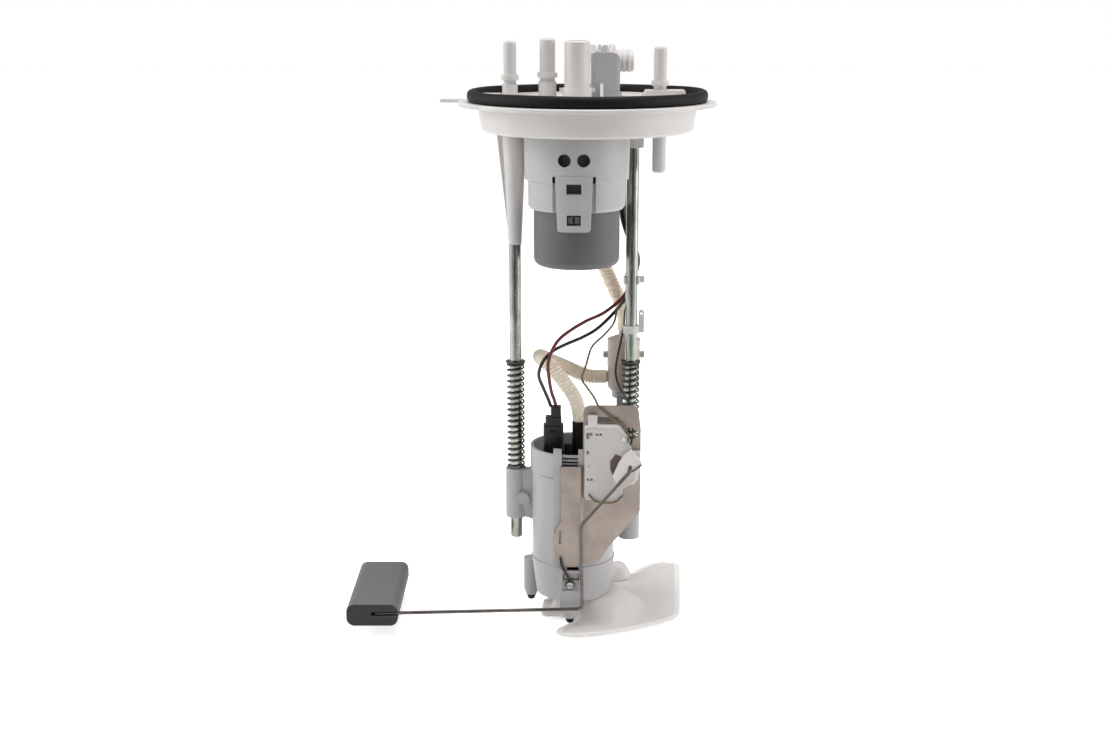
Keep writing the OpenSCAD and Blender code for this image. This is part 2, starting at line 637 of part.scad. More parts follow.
module canister_float() {
  color(white) translate([canister_at[0], canister_at[1], canister_bottom + canister_wall + vent_leg])
    difference() {
    union() {
      cylinder(d = vent_float_d, h = vent_float_h, $fn = round_fn);
      translate([0, 0, vent_float_h]) cylinder(d1 = 12, d2 = 3, h = needle_h, $fn = round_fn);
      for (a = [0 : 90 : 270]) rotate([0, 0, a])
        translate([vent_float_d / 2 - 5, -1, -vent_leg + seat_gap]) cube([3, 2, vent_leg + 1]);
    }
    translate([0, 0, -1]) cylinder(d = vent_float_d - 6, h = vent_float_h - 3, $fn = round_fn);
  }
}

// Steel guide rod: a spigot on top, a groove for the stop ring and a rounded tip
module guide_rod(top, bottom, spigot, groove_z) {
  r = rod_d / 2;
  rotate_extrude($fn = round_fn) polygon([[0, top + spigot], [spigot_d / 2 - 0.4, top + spigot],
    [spigot_d / 2, top + spigot - 0.4], [spigot_d / 2, top], [r - 0.3, top], [r, top - 0.3],
    [r, spring_top], [r - 0.4, spring_top], [r - 0.4, spring_top - washer_t], [r, spring_top - washer_t],
    [r, groove_z], [r - ring_groove, groove_z], [r - ring_groove, groove_z - ring_t], [r, groove_z - ring_t],
    [r, bottom + 1.6], [r - 0.5, bottom + 0.5], [r - 1.6, bottom], [0, bottom]]);
}

function ring_z(sleeve_bottom) = sleeve_bottom + ring_recess - body_gap;

module guide_rod_left() {
  color(steel) translate(left_rod_at)
    guide_rod(socket_bottom - seat_gap, rod_bottom_left, spigot_len, ring_z(left_sleeve_bottom));
}

module guide_rod_right() {
  color(steel) translate(right_rod_at)
    guide_rod(boss_bottom - seat_gap, rod_bottom_right, short_spigot_len, ring_z(right_sleeve_bottom + 6));
}

module spring_washers() {
  color(dark_steel) for (p = [left_rod_at, right_rod_at])
    translate([p[0], p[1], spring_top - washer_t + 0.03])
    tube(washer_r, rod_d / 2 - 0.38, washer_t - 0.06);
}

// Open retaining ring that snaps into the rod's groove
module stop_ring() {
  difference() {
    tube(ring_r, rod_d / 2 - ring_groove + 0.02, ring_t - 0.06);
    translate([0, -1.4, -1]) cube([10, 2.8, 4]);
  }
}

module stop_rings() {
  color(dark_steel) {
    translate([left_rod_at[0], left_rod_at[1], ring_z(left_sleeve_bottom) - ring_t + 0.03]) stop_ring();
    translate([right_rod_at[0], right_rod_at[1], ring_z(right_sleeve_bottom + 6) - ring_t + 0.03])
      stop_ring();
  }
}

module spring_left() {
  color(dark_steel) translate(left_rod_at)
    helix(spring_r, spring_wire / 2, spring_low, spring_high, spring_turns, 10);
}

module spring_right() {
  color(dark_steel) translate(right_rod_at)
    helix(spring_r, spring_wire / 2, spring_low, spring_high, spring_turns, 10);
}

// Harness clip snapped on the rod, with an arm that holds the bundle behind it
module rod_clip(z, h) {
  translate([right_rod_at[0], right_rod_at[1], z]) difference() {
    union() {
      cylinder(r = rod_d / 2 + 1.3, h = h, $fn = round_fn);
      translate([-3, rod_d / 2 - 0.5, 0]) cube([6, 2.2, h]);
      translate([0, 8.2, 0]) cylinder(r = 4, h = h, $fn = small_fn);
    }
    translate([0, 0, -1]) cylinder(r = rod_d / 2 + seat_gap, h = h + 2, $fn = round_fn);
    translate([0, 8.2, -1]) cylinder(r = 2.7, h = h + 2, $fn = small_fn);
    translate([1, 7.4, -1]) cube([6, 1.6, h + 2]);
  }
}

module harness_clip() {
  color(white) difference() {
    union() {
      rod_clip(-114, 5);
      translate([right_rod_at[0] + rod_d / 2 + 0.9, right_rod_at[1] - 0.6, -113]) cube([3.2, 4, 3.6]);
    }
    // Mouth towards the front
    translate([right_rod_at[0] - 4.2, right_rod_at[1] - 12, -116]) cube([8.4, 9.5, 10]);
  }
}

module harness_ring() {
  color(white) translate([right_rod_at[0], right_rod_at[1], -146]) {
    tube(rod_d / 2 + 1.2, rod_d / 2 + seat_gap, 5);
    upright(-1, 2) difference() {
      union() {
        translate([rod_d / 2 + 0.9, 0.4]) square([3.4, 13]);
        translate([rod_d / 2 + 2.6, 13.4]) circle(1.7, $fn = small_fn);
      }
      translate([rod_d / 2 + 2.6, 12.6]) circle(0.8, $fn = small_fn);
    }
  }
}

module feed_hose() {
  color(cream) difference() {
    corrugated(feed_route, hose_r, 8);
    translate([hose_barb_at[0], hose_barb_at[1], -30]) cylinder(r = barb_r + 0.1, h = 20, $fn = small_fn);
    translate([reg_at[0], reg_at[1], reg_top - 10])
      cylinder(r = spigot_r + seat_gap, h = 19.1, $fn = small_fn);
  }
}

module harness_plug() {
  color(black) translate([connector_at[0], connector_at[1], 0]) difference() {
    union() {
      translate([0, 0, -11]) linear_extrude(10.7) round_square(19, 11, 1.4);
      translate([4.5, 3, -7]) rotate([-90, 0, 0]) cylinder(r = 3.4, h = 3.3, $fn = small_fn);
    }
    for (i = [0 : blade_count - 1]) translate([blade_pitch * (i - (blade_count - 1) / 2), 0, -5.4])
      linear_extrude(10) square([blade_w + 0.1, blade_t + 0.1], center = true);
  }
}

module harness() {
  color(black) wire(harness_route, 2.2, 4);
}

module pump_lead_red() {
  color("#7a2a28") wire(red_route, lead_r, 5);
}

module pump_lead_black() {
  color(black) wire(black_route, lead_r, 5);
}

module sender_lead_olive() {
  color("#8f7f2e") wire(olive_route, thin_r, 5);
}

module sender_lead_black() {
  color(black) wire(thin_route, thin_r, 5);
}

// Sleeve that rides on a rod, with a recess below for the stop ring
module sleeve(p, top, bottom, recess) {
  translate([p[0], p[1], bottom]) cylinder(r = sleeve_r, h = top - bottom, $fn = round_fn);
}

module sleeve_bore(p, top, bottom, recess) {
  translate([p[0], p[1], bottom - 1]) cylinder(r = rod_d / 2 + rod_gap, h = top - bottom + 2, $fn = round_fn);
  translate([p[0], p[1], bottom - 1]) cylinder(r = ring_r + 0.3, h = recess + 1, $fn = round_fn);
}

module pump_housing() {
  color(pale) difference() {
    union() {
      translate([pump_at[0], pump_at[1], seam_z]) cylinder(r = housing_r, h = housing_top - seam_z, $fn = 96);
      // Left sleeve, its web and the rounded boss on it
      sleeve(left_rod_at, sleeve_top, left_sleeve_bottom, ring_recess);
      upright(2.5, 7) polygon([[left_rod_at[0] + 2, sleeve_top - 1],
        [pump_at[0] - housing_r + 3, sleeve_top + 1],
        [pump_at[0] - housing_r + 3, -272], [left_rod_at[0] + 5, left_sleeve_bottom + 1]]);
      translate([-41, 3, -256]) rotate([90, 0, 0]) cylinder(r = 4, h = 4, $fn = small_fn);
      // Right sleeve with its web
      sleeve(right_rod_at, sleeve_top, right_sleeve_bottom, ring_recess);
      translate([pump_at[0] + housing_r - 4, 2.5, -280]) cube([14, 7, 280 + sleeve_top]);
      // Leg of the regulator
      translate([leg_x, right_rod_at[1] + spring_d / 2 + 0.8, leg_bottom])
        cube([leg_w, 5, reg_bottom - seat_gap - leg_bottom]);
      translate([leg_x, right_rod_at[1] + 2, leg_bottom]) cube([leg_w + 2, 8, sleeve_top - 2 - leg_bottom]);
      translate([reg_at[0], reg_at[1], reg_bottom - 4 - seat_gap])
        cylinder(r = reg_r - 3, h = 4, $fn = small_fn);
      // Rails that hold the bracket
      translate([rib_x - 4.1, rail_front, seam_z + 1]) cube([5.3, 9, rail_top - seam_z - 1]);
      translate([rib_x + rib_w - 1.6, plate_back + seat_gap, seam_z + 1])
        cube([3.2, 8, rail_top - seam_z - 1]);
    }
    translate([pump_at[0], pump_at[1], seam_z - 1]) cylinder(r = housing_r - housing_wall, h = 90, $fn = 96);
    sleeve_bore(left_rod_at, sleeve_top, left_sleeve_bottom, ring_recess);
    sleeve_bore(right_rod_at, sleeve_top, right_sleeve_bottom, ring_recess + 6);
    // Room for the ring piece behind the rails
    translate([pump_at[0], pump_at[1], housing_top + 0.01])
      cylinder(r = ring_outer_r + 0.2, h = 40, $fn = 96);
  }
}

module housing_ring() {
  color(pale) translate([pump_at[0], pump_at[1], 0]) difference() {
    union() {
      translate([0, 0, housing_top + seam_gap])
        cylinder(r = ring_outer_r, h = ring_top - housing_top - seam_gap, $fn = 96);
      translate([0, 0, housing_top - 4]) cylinder(r = housing_r - housing_wall - seat_gap, h = 6, $fn = 96);
    }
    translate([0, 0, housing_top + 3]) cylinder(r = ring_outer_r - 2, h = 20, $fn = 96);
    translate([0, 0, housing_top - 6]) cylinder(r = pump_r + 0.3, h = 20, $fn = 96);
    // Louvres at the front, between the rails
    for (z = [-225.8, -223.6, -221.2]) translate([rib_x + 1.4, -ring_outer_r - 2, z])
      translate([-pump_at[0], 0, 0]) cube([rib_w - 3.2, 6, 1.3]);
  }
}

// Cup that closes the housing from below, with the front rib and three feet
module lower_cup() {
  color(pale) difference() {
    union() {
      translate([pump_at[0], pump_at[1], cup_bottom])
        cylinder(r1 = cup_tip_r, r2 = housing_r + 0.6, h = seam_z - cup_bottom - seat_gap, $fn = 96);
      // Front rib with its rounded foot
      translate([rib_x, rib_front, foot_z + foot_h]) cube([rib_w, 14, seam_z - foot_z - foot_h - 2]);
      translate([rib_x, rib_front, seam_z - 6]) cube([rib_w, rail_front - body_gap - rib_front, 7.8]);
      translate([front_foot()[0], front_foot()[1], foot_z])
        cylinder(r1 = 3.8, r2 = 5.7, h = 1.6, $fn = round_fn);
      translate([front_foot()[0], front_foot()[1], foot_z + 1.6])
        cylinder(r1 = 5.7, r2 = rib_w / 2 - 0.1, h = foot_h - 1.6, $fn = round_fn);
      // Left and right feet
      for (p = [left_foot(), right_foot()]) {
        translate([p[0], p[1], foot_z + 4]) cylinder(r = 5, h = 22, $fn = small_fn);
        translate([p[0], p[1], foot_z]) cylinder(r1 = 3.6, r2 = 5, h = 4, $fn = small_fn);
        translate([pump_at[0], pump_at[1], foot_z + 9.4])
          rotate([0, 0, atan2(p[1] - pump_at[1], p[0] - pump_at[0])])
          translate([20, -2, 0]) cube([norm(p - pump_at) - 21, 4, 14.6]);
      }
    }
    translate([pump_at[0], pump_at[1], cup_bottom + 2])
      cylinder(r1 = cup_tip_r - 2, r2 = housing_r - 1.4, h = seam_z - cup_bottom - 2 + 0.01, $fn = 96);
    translate([neck_at[0], neck_at[1], cup_bottom - 1]) cylinder(r = neck_r + 1.5, h = 4, $fn = small_fn);
    // Bores for the feet's stems and the screw
    for (p = [front_foot(), left_foot(), right_foot()]) translate([p[0], p[1], foot_z - 1])
      cylinder(r = 1.5 + seat_gap, h = 6.2, $fn = small_fn);
    translate([screw_at[0], rib_front - 1, screw_at[1]]) rotate([-90, 0, 0])
      cylinder(r = 1.6, h = 10, $fn = small_fn);
    // Pocket for the bracket's lower tongue, open above and below a bar
    translate([rib_x + 2, strip_front - 0.3, pocket_z]) cube([rib_w - 2.7, bracket_t + 0.6, 12]);
    for (z = [[0, 5], [6.3, 6]]) translate([rib_x + 2, rib_front - 1, pocket_z + z[0]])
      cube([rib_w - 2.7, 3.2, z[1]]);
    // Dark room behind the tongue's window
    translate([rib_x + 4.8, strip_front + bracket_t, pocket_z + 4]) cube([rib_w - 5.8, 6.5, 8.4]);
    // Recess round the screw
    translate([rib_x + 1.5, rib_front - 1, screw_at[1] - 4]) cube([rib_w - 2.9, 1 + recess, 7]);
  }
}
function front_foot() = [rib_x + rib_w / 2, rib_front + 6.4];
function left_foot() = [-36, 13];
function right_foot() = [9, 32];

module rubber_feet() {
  color(black) for (p = [front_foot(), left_foot(), right_foot()]) translate([p[0], p[1], 0]) {
    translate([0, 0, foot_tip_z]) cylinder(r1 = 2, r2 = 3.4, h = foot_z - foot_tip_z - seat_gap,
      $fn = small_fn);
    translate([0, 0, foot_z - 1]) cylinder(r = 1.5, h = 6, $fn = small_fn);
  }
}

module pump_case() {
  color(steel) translate([pump_at[0], pump_at[1], pump_bottom]) difference() {
    cylinder(r = pump_r, h = pump_len, $fn = 96);
    translate([0, 0, -1]) cylinder(r = pump_r - case_wall, h = pump_len + 2, $fn = 96);
  }
}

// Plastic end of the pump with the outlet spigot and the socket of the plug
module pump_cover() {
  r = pump_r - case_wall - seat_gap;
  color(black) difference() {
    union() {
      translate([pump_at[0], pump_at[1], pump_top - 10]) cylinder(r = r, h = 13, $fn = 96);
      translate([outlet_at[0], outlet_at[1], pump_top]) cylinder(r = outlet_r, h = 26, $fn = small_fn);
      translate([plug_at[0], plug_at[1], pump_top + 2]) linear_extrude(3.4) round_square(12, 8, 1);
      translate([-11.4, -6.4, pump_top + 2]) cylinder(r = 2.6, h = 13, $fn = small_fn);
    }
    translate([outlet_at[0], outlet_at[1], pump_top - 20])
      cylinder(r = outlet_r - 1.2, h = 60, $fn = small_fn);
    translate([pump_at[0], pump_at[1], pump_top - 11])
      cylinder(r = shaft_r + shaft_gap, h = 7, $fn = small_fn);
    for (s = [-1, 1]) translate([pump_at[0], pump_at[1] + s * 6, pump_top - 11])
      linear_extrude(7) square([5 + 2 * seat_gap, 4 + 2 * seat_gap], center = true);
  }
}

module carbon_brushes() {
  color("#3a3a3a") for (s = [-1, 1]) translate([pump_at[0], pump_at[1] + s * 6, pump_top - 13.6])
    linear_extrude(8) square([5, 4], center = true);
}

module pump_magnets() {
  r = pump_r - case_wall - seat_gap;
  color("#3f3f44") translate([pump_at[0], pump_at[1], pump_top - 20 - magnet_h]) difference() {
    tube(r, r - magnet_t, magnet_h, 96);
    for (a = [0, 90]) rotate([0, 0, a + 45]) translate([-30, -3, -1]) cube([60, 6, magnet_h + 2]);
  }
}

// Armature with its commutator and the through shaft
module armature() {
  color("#8a5a3a") translate([pump_at[0], pump_at[1], pump_top]) {
    translate([0, 0, -19 - magnet_h]) cylinder(r = armature_r, h = magnet_h - 2, $fn = round_fn);
    translate([0, 0, -23 - magnet_h]) cylinder(r = armature_r - 3, h = magnet_h + 6, $fn = round_fn);
    translate([0, 0, -17]) cylinder(r = 9.2, h = 3.2, $fn = round_fn);
    translate([0, 0, -pump_len + 2.6]) cylinder(r = shaft_r, h = pump_len - 8, $fn = small_fn);
  }
}

// Lower end of the pump: chamber plates and the inlet neck, with a pocket for the impeller
module inlet_body() {
  r = pump_r - case_wall - seat_gap;
  color(grey) translate([pump_at[0], pump_at[1], pump_bottom]) difference() {
    union() {
      cylinder(r = r, h = inlet_h, $fn = 96);
      translate([neck_at[0] - pump_at[0], neck_at[1] - pump_at[1], -4])
        cylinder(r = neck_r, h = 6, $fn = small_fn);
    }
    translate([0, 0, 5]) cylinder(d = impeller_d + 0.4, h = impeller_t + 0.2, $fn = 96);
    translate([0, 0, 1.6]) cylinder(r = shaft_r + shaft_gap, h = inlet_h, $fn = small_fn);
    translate([neck_at[0] - pump_at[0], neck_at[1] - pump_at[1], -5])
      cylinder(r = neck_r - 1.6, h = 11, $fn = small_fn);
    translate([-neck_at[0] + pump_at[0], 8, 6]) cylinder(r = 2.4, h = inlet_h, $fn = small_fn);
  }
}

// Regenerative impeller: a disc with a row of pockets near its edge
module impeller() {
  r = impeller_d / 2;
  color("#2f2f33") translate([pump_at[0], pump_at[1], pump_bottom + 5.1]) difference() {
    cylinder(r = r, h = impeller_t, $fn = 96);
    translate([0, 0, -1]) cylinder(r = shaft_r + 0.005, h = impeller_t + 2, $fn = small_fn);
    for (i = [0 : vane_count - 1]) rotate([0, 0, 360 * i / vane_count])
      translate([r - 4.4, -0.35 * 2 * PI * (r - 3) / vane_count, -1])
        cube([3, 0.7 * 2 * PI * (r - 3) / vane_count, impeller_t + 2]);
  }
}

module rubber_isolator() {
  color(black) translate([pump_at[0], pump_at[1], seam_z + 3])
    difference() {
      cylinder(r = housing_r - housing_wall - seat_gap, h = 14, $fn = 96);
      translate([0, 0, -1]) cylinder(r = pump_r + seat_gap, h = 16, $fn = 96);
      for (a = [0 : 45 : 315]) rotate([0, 0, a]) translate([pump_r + 2.8, 0, -1])
        cylinder(r = 1.6, h = 16, $fn = 24);
    }
}

module pump_plug() {
  color("#17140f") translate([plug_at[0], plug_at[1], pump_top + 5.4 + seat_gap]) difference() {
    union() {
      linear_extrude(21.6) round_square(13, 9.6, 1.4);
      translate([0, 0, 21.6]) linear_extrude(5.4) round_square(10.4, 8, 1.4);
      translate([1.6, 0, 27]) linear_extrude(7) round_square(6.6, 6.4, 1);
      translate([0, -5.2, 3]) linear_extrude(15) square([5, 1.8], center = true);
    }
    for (x = [-1.9, 1.6]) translate([x, -0.6, 20]) cylinder(r = lead_r + 0.1, h = 16, $fn = small_fn);
  }
}

module outlet_tube() {
  color("#3a332c") translate([outlet_at[0], outlet_at[1], pump_top + 3 + seat_gap])
    tube(tube_r, outlet_r + seat_gap, tube_top - pump_top - 3, small_fn);
}

module outlet_hose() {
  color(cream) difference() {
    corrugated(outlet_route, hose_r, 6);
    translate([outlet_at[0], outlet_at[1], -215])
      cylinder(r = tube_r + seat_gap, h = 215 + tube_top + 0.1, $fn = small_fn);
    translate([reg_at[0], reg_at[1], reg_bottom + side_z]) rotate([0, -90, 0])
      cylinder(r = spigot_r + seat_gap, h = reg_r + side_len, $fn = small_fn);
  }
}

// Regulator: upper can with the feed neck, lower seat with the side spigot
module regulator_can() {
  color(white) translate([reg_at[0], reg_at[1], reg_split + seat_gap]) difference() {
    union() {
      cylinder(r = reg_r, h = reg_top - reg_split - 4, $fn = round_fn);
      translate([0, 0, reg_top - reg_split - 4]) cylinder(r1 = reg_r, r2 = 6, h = 2, $fn = round_fn);
      translate([0, 0, reg_top - reg_split - 3]) cylinder(r = spigot_r, h = 12, $fn = round_fn);
      for (s = [-1, 1]) translate([s * (reg_r + 0.8) - 1.9, -2, 5.6]) cube([3.8, 4, 3.6]);
    }
    translate([0, 0, -1]) cylinder(r = reg_r - 1.8, h = reg_top - reg_split - 4, $fn = round_fn);
    translate([0, 0, -1]) cylinder(r = 2.2, h = 60, $fn = small_fn);
  }
}

module regulator_socket() {
  color(white) translate([reg_at[0], reg_at[1], reg_bottom]) difference() {
    union() {
      cylinder(r1 = reg_r - 2.6, r2 = reg_r - 0.2, h = 3, $fn = round_fn);
      translate([0, 0, 3]) cylinder(r = reg_r - 0.2, h = reg_split - reg_bottom - 3, $fn = round_fn);
      translate([-reg_r + 3, 0, side_z]) rotate([0, -90, 0])
        cylinder(r = spigot_r, h = side_len + 3 - 0.2, $fn = round_fn);
    }
    translate([0, 0, 2.4]) cylinder(r = reg_r - 2.4, h = 40, $fn = round_fn);
    translate([-reg_r + 6, 0, side_z]) rotate([0, -90, 0]) cylinder(r = 2.2, h = 30, $fn = small_fn);
  }
}

module regulator_seat() {
  color(brass) translate([reg_at[0], reg_at[1], reg_split - 3]) {
    cylinder(r = reg_r - 2.5, h = 1, $fn = round_fn);
    cylinder(r = 4, h = 3.5, $fn = round_fn);
    translate([0, 0, -5]) cylinder(r = 2, h = 6, $fn = small_fn);
  }
}

module regulator_spring() {
  color(dark_steel) translate([reg_at[0], reg_at[1], 0])
    helix(5.6, 0.6, reg_split - 1.3, reg_top - 6.8, 5, 12);
}

// Folded sheet bracket: a narrow strip up the front, a joggle and a wide plate for the sender
module sender_bracket() {
  color(zinc) difference() {
    union() {
      upright(plate_front, bracket_t) difference() {
        union() {
        polygon([[joggle_right - 0.4, -188.7], [2, -184.7], [28.6, -184.7], [32.8, -188.4], [34.2, -200.4],
          [34.3, -254], [29.9, -260.3], [14.6, -278.3], [8, -288.6], [5.6, -289.9],
            [joggle_right - 0.4, -289.9]]);
        translate([2.2, -189]) circle(4.3, $fn = small_fn);
        translate([28.4, -189]) circle(4.3, $fn = small_fn);
        }
        translate([7, -195.2]) square([13, 3.2]);
      }
      // Pressed flap behind the window above the sender
      rotate([90, 0, 90]) translate([0, 0, 6.4]) linear_extrude(14.2) polygon([[plate_back - 0.2, -196.6],
        [plate_back + 3.6, -191.2], [plate_back + 3.6, -190], [plate_back - 0.2, -195.4]]);
      // Strip with its tapered foot and the ear beside it
      intersection() {
        translate([0, 0, -301]) linear_extrude(78) polygon([[-22, strip_front], [strip_right, strip_front],
          [joggle_right, plate_front], [joggle_right, plate_front + bracket_t],
          [strip_right - 0.8, strip_front + bracket_t], [-22, strip_front + bracket_t]]);
        upright(-40, 20) polygon([[-16.3, -224.4], [0, -224.4], [0, -290], [-4.6, -290], [-4.6, -291.5],
          [-12.2, -291.5], [-12.2, -296.2], [-4.8, -296.2], [-4.8, -299.9], [-14, -299.9], [-14, -294],
            [-16.3, -288.4], [-19.8, -288.4], [-21.4, -274], [-20.6, -268.4], [-16.3, -260.5]]);
      }
    }
    translate([bracket_hole[0], plate_front - 1, bracket_hole[1]]) rotate([-90, 0, 0])
      cylinder(d = bracket_hole_d, h = 4, $fn = round_fn);
    // Slot of the ear and holes of the sender's clips
    translate([-17.6, strip_front - 1, -276]) cube([1.6, 4, 8.6]);
    for (p = sender_clips()) translate([p[0], plate_front - 1, p[1]]) rotate([-90, 0, 0])
      cylinder(r = 1.7, h = 4, $fn = small_fn);
  }
}
function sender_clips() = [[3, -201], [3, -240], [21, -240]];

// Plastic base of the sender with a hooked tab, a shoulder and a terminal boss
module sender_base() {
  front = plate_front - base_t - seat_gap;
  color("#c6c4c2") difference() {
    union() {
      upright(front, base_t) polygon([[-1.3, -197.5], [-1.1, -244], [0, -246], [22.2, -246], [23.2, -239],
        [26.3, -236.6], [30, -235.7], [32.6, -232.4], [33.5, -228], [34.1, -221.4], [33.8, -213.9],
        [28.7, -213.8], [27.6, -207.3], [23.3, -200.7], [20.6, -196.7], [6.5, -196.4], [6.5, -190.5],
        [0.8, -190.5], [0.8, -197]]);
      // Hook on the tab
      translate([0.8, front - 1.4, -191.7]) cube([5.7, 2, 1.2]);
      translate([5.3, front - 1.4, -194]) cube([1.2, 2, 3]);
      // Terminal boss
      translate([23, front - 1, -206]) rotate([-90, 0, 0]) cylinder(r = 1.8, h = 2, $fn = small_fn);
      for (p = sender_clips()) translate([p[0], plate_front - 1, p[1]]) rotate([-90, 0, 0])
        cylinder(r = 1.6, h = 1 + bracket_t + 0.6, $fn = small_fn);
    }
    // Bearing of the arm's pivot
    translate([pivot[0], plate_front - 10, pivot[1]]) rotate([-90, 0, 0])
      cylinder(r = pivot_r + 0.05, h = 12, $fn = small_fn);
  }
}

// Ceramic card with its contact windows
module resistor_card() {
  color("#bfbdb9") translate([0, plate_front - base_t - card_t - 2 * seat_gap, 0]) difference() {
    upright(0, card_t) polygon([[-0.9, -199.6], [-0.9, -243.6], [0.4, -245.4], [21.6, -245.4], [22.4, -239.4],
      [25.6, -237], [30.6, -233], [30.6, -215.2], [26.6, -213], [20.8, -202.6], [18.4, -199.2], [6.8, -199.2],
      [5.4, -198]]);
    for (w = card_windows()) translate([w[0], -1, w[1]]) cube([w[2], 3, w[3]]);
    translate([pivot[0], -1, pivot[1]]) rotate([-90, 0, 0])
      cylinder(r = pivot_r + 0.6, h = 3, $fn = small_fn);
    translate([23, -1, -206]) rotate([-90, 0, 0]) cylinder(r = 2, h = 3, $fn = small_fn);
  }
}
// Windows in the card: x, z, width and height
function card_windows() = [[-0.4, -205.6, 1.9, 4.2], [1.4, -203.4, 2.3, 2], [5.6, -203.3, 1.6, 1.2],
  [8, -203.3, 1.6, 1.2], [-0.2, -215.5, 1.8, 2.2], [1, -224, 0.9, 0.9], [0, -233, 1.6, 1.4],
    [2.4, -233, 1.6, 1.4]];

// Printed track of the card, where the wiper runs
module resistor_track() {
  color("#5f4a3a") upright(plate_front - base_t - card_t - track_t - 2.5 * seat_gap, track_t)
    polygon([[18.2, -215.3], [23.7, -218], [20.9, -222.4], [17.3, -230.9], [14.9, -225.6], [14.8, -220.2]]);
}

module card_lead() {
  color("#8f7f2e") wire(card_route, thin_r, 4);
}

module bracket_screw() {
  color(steel) translate([screw_at[0], rib_front + recess - 0.9, screw_at[1]]) rotate([-90, 0, 0])
    difference() {
    union() {
      translate([0, 0, -1.6]) cylinder(r1 = 2.2, r2 = 2.9, h = 1.6, $fn = small_fn);
      cylinder(r = 1.55, h = 8, $fn = small_fn);
    }
    for (a = [0, 90]) rotate([0, 0, a]) translate([-1.9, -0.35, -1.7]) cube([3.8, 0.7, 1]);
  }
}

// Earth strap from the bracket to the screw
module ground_lead() {
  color("#3a332c") union() {
    wire(ground_route, 0.9, 3);
    translate([screw_at[0], rib_front + recess - 0.87, screw_at[1]]) rotate([-90, 0, 0])
      tube(3.4, 1.65, 0.8, small_fn);
  }
}

// Mesh pouch: a welded hem, a body that fills out in steps and a mound under the pump
module strainer_pouch() {
  low = pouch_z + pouch_t / 2;
  color("#c4bfbb") difference() {
    union() {
      pouch_layer(0, hem_t, 3);
      pouch_layer(hem_w, pouch_t * 0.55, 2);
      pouch_layer(hem_w + 1.6, pouch_t * 0.8, 1);
      pouch_layer(hem_w + 4, pouch_t, 0.5);
      translate([mound_at[0], mound_at[1], low - 0.5])
        cylinder(r1 = mound_low_r, r2 = mound_top_r, h = cup_bottom - body_gap - low + 0.5, $fn = 96);
    }
    translate([neck_at[0], neck_at[1], low]) cylinder(r = neck_r + 4.2, h = 30, $fn = round_fn);
    for (p = [front_foot(), right_foot()]) translate([p[0], p[1], low])
      cylinder(r = 5.8, h = 20, $fn = small_fn);
  }
}

// Layer of the pouch: its outline moved in and extruded about the middle plane
module pouch_layer(inset, t, r) {
  translate([0, 0, pouch_z - t / 2]) linear_extrude(t)
    offset(r = r, $fn = 24) offset(delta = -inset - r) polygon(pouch_outline);
}

// Moulded neck between the pump's inlet and the pouch, and the stud at the back
module strainer_frame() {
  low = pouch_z + pouch_t / 2 + seat_gap;
  color(white) {
    difference() {
      union() {
        translate([neck_at[0], neck_at[1], low]) cylinder(r = neck_r + 4, h = 1.6, $fn = round_fn);
        translate([neck_at[0], neck_at[1], low])
          cylinder(r = neck_r + 1.3, h = -low + pump_bottom - seat_gap, $fn = round_fn);
      }
      translate([neck_at[0], neck_at[1], low - 1]) cylinder(r = neck_r - 1.6, h = 30, $fn = round_fn);
      translate([neck_at[0], neck_at[1], pump_bottom - 4 - seat_gap])
        cylinder(r = neck_r + seat_gap, h = 12, $fn = round_fn);
    }
    translate([knob_at[0], knob_at[1], low]) rotate_extrude($fn = round_fn)
      polygon([[0, 0], [knob_r, 0], [knob_r, 2], [knob_r - 1, 5], [knob_r - 3, 8.6],
        [knob_r - 5, knob_h - 0.6],
        [knob_r - 6.4, knob_h], [0, knob_h]]);
  }
}

// Plastic hub of the float arm, with the pivot pin
module arm_hub() {
  color(white) difference() {
    union() {
      translate([pivot[0], hub_back, pivot[1]]) rotate([-90, 0, 0])
        cylinder(r = pivot_r, h = plate_front - hub_back - 0.2, $fn = small_fn);
      upright(arm_y, hub_back - arm_y)
        polygon([[27.9, -211.8], [22.8, -216.3], [20.1, -220.7], [16.6, -229.3],
        [18.6, -233.4], [22.4, -231.4], [28.6, -226.6], [34.6, -221.4], [33.8, -218.2]]);
    }
    translate([pivot[0], arm_y - 2, pivot[1]]) rotate([-90, 0, 0])
      cylinder(r = arm_r + 0.1, h = 5, $fn = small_fn);
    arm_groove();
  }
}

// Groove that the wire snaps into
module arm_groove() {
  groove_r = arm_r + 0.1;
  rod_between([pivot[0], arm_y, pivot[1]], [knee_point()[0], arm_y, knee_point()[1]], groove_r);
  rod_between([knee_point()[0], arm_y, knee_point()[1]], [elbow_point()[0], arm_y, elbow_point()[1]],
    groove_r);
  translate([knee_point()[0], arm_y, knee_point()[1]]) sphere(r = groove_r, $fn = 24);
}
// Bends of the float wire: just under the hub and on the strip's front
function knee_point() = [26.8, -226];
function elbow_point() = [-3.5, -261];

module wiper() {
  color(brass) upright(hub_back + 0.02, 0.4)
    polygon([[22.4, -218], [25, -219.6], [20, -229], [16.6, -226.4], [17.2, -225.2], [19.6, -226.8]]);
}

// Thin wire spring that holds the arm in its groove
module arm_clip() {
  color(dark_steel) rod_between([28.7, arm_y - 0.52, -225.4], [34.6, arm_y - 0.52, -220.8], 0.5);
}

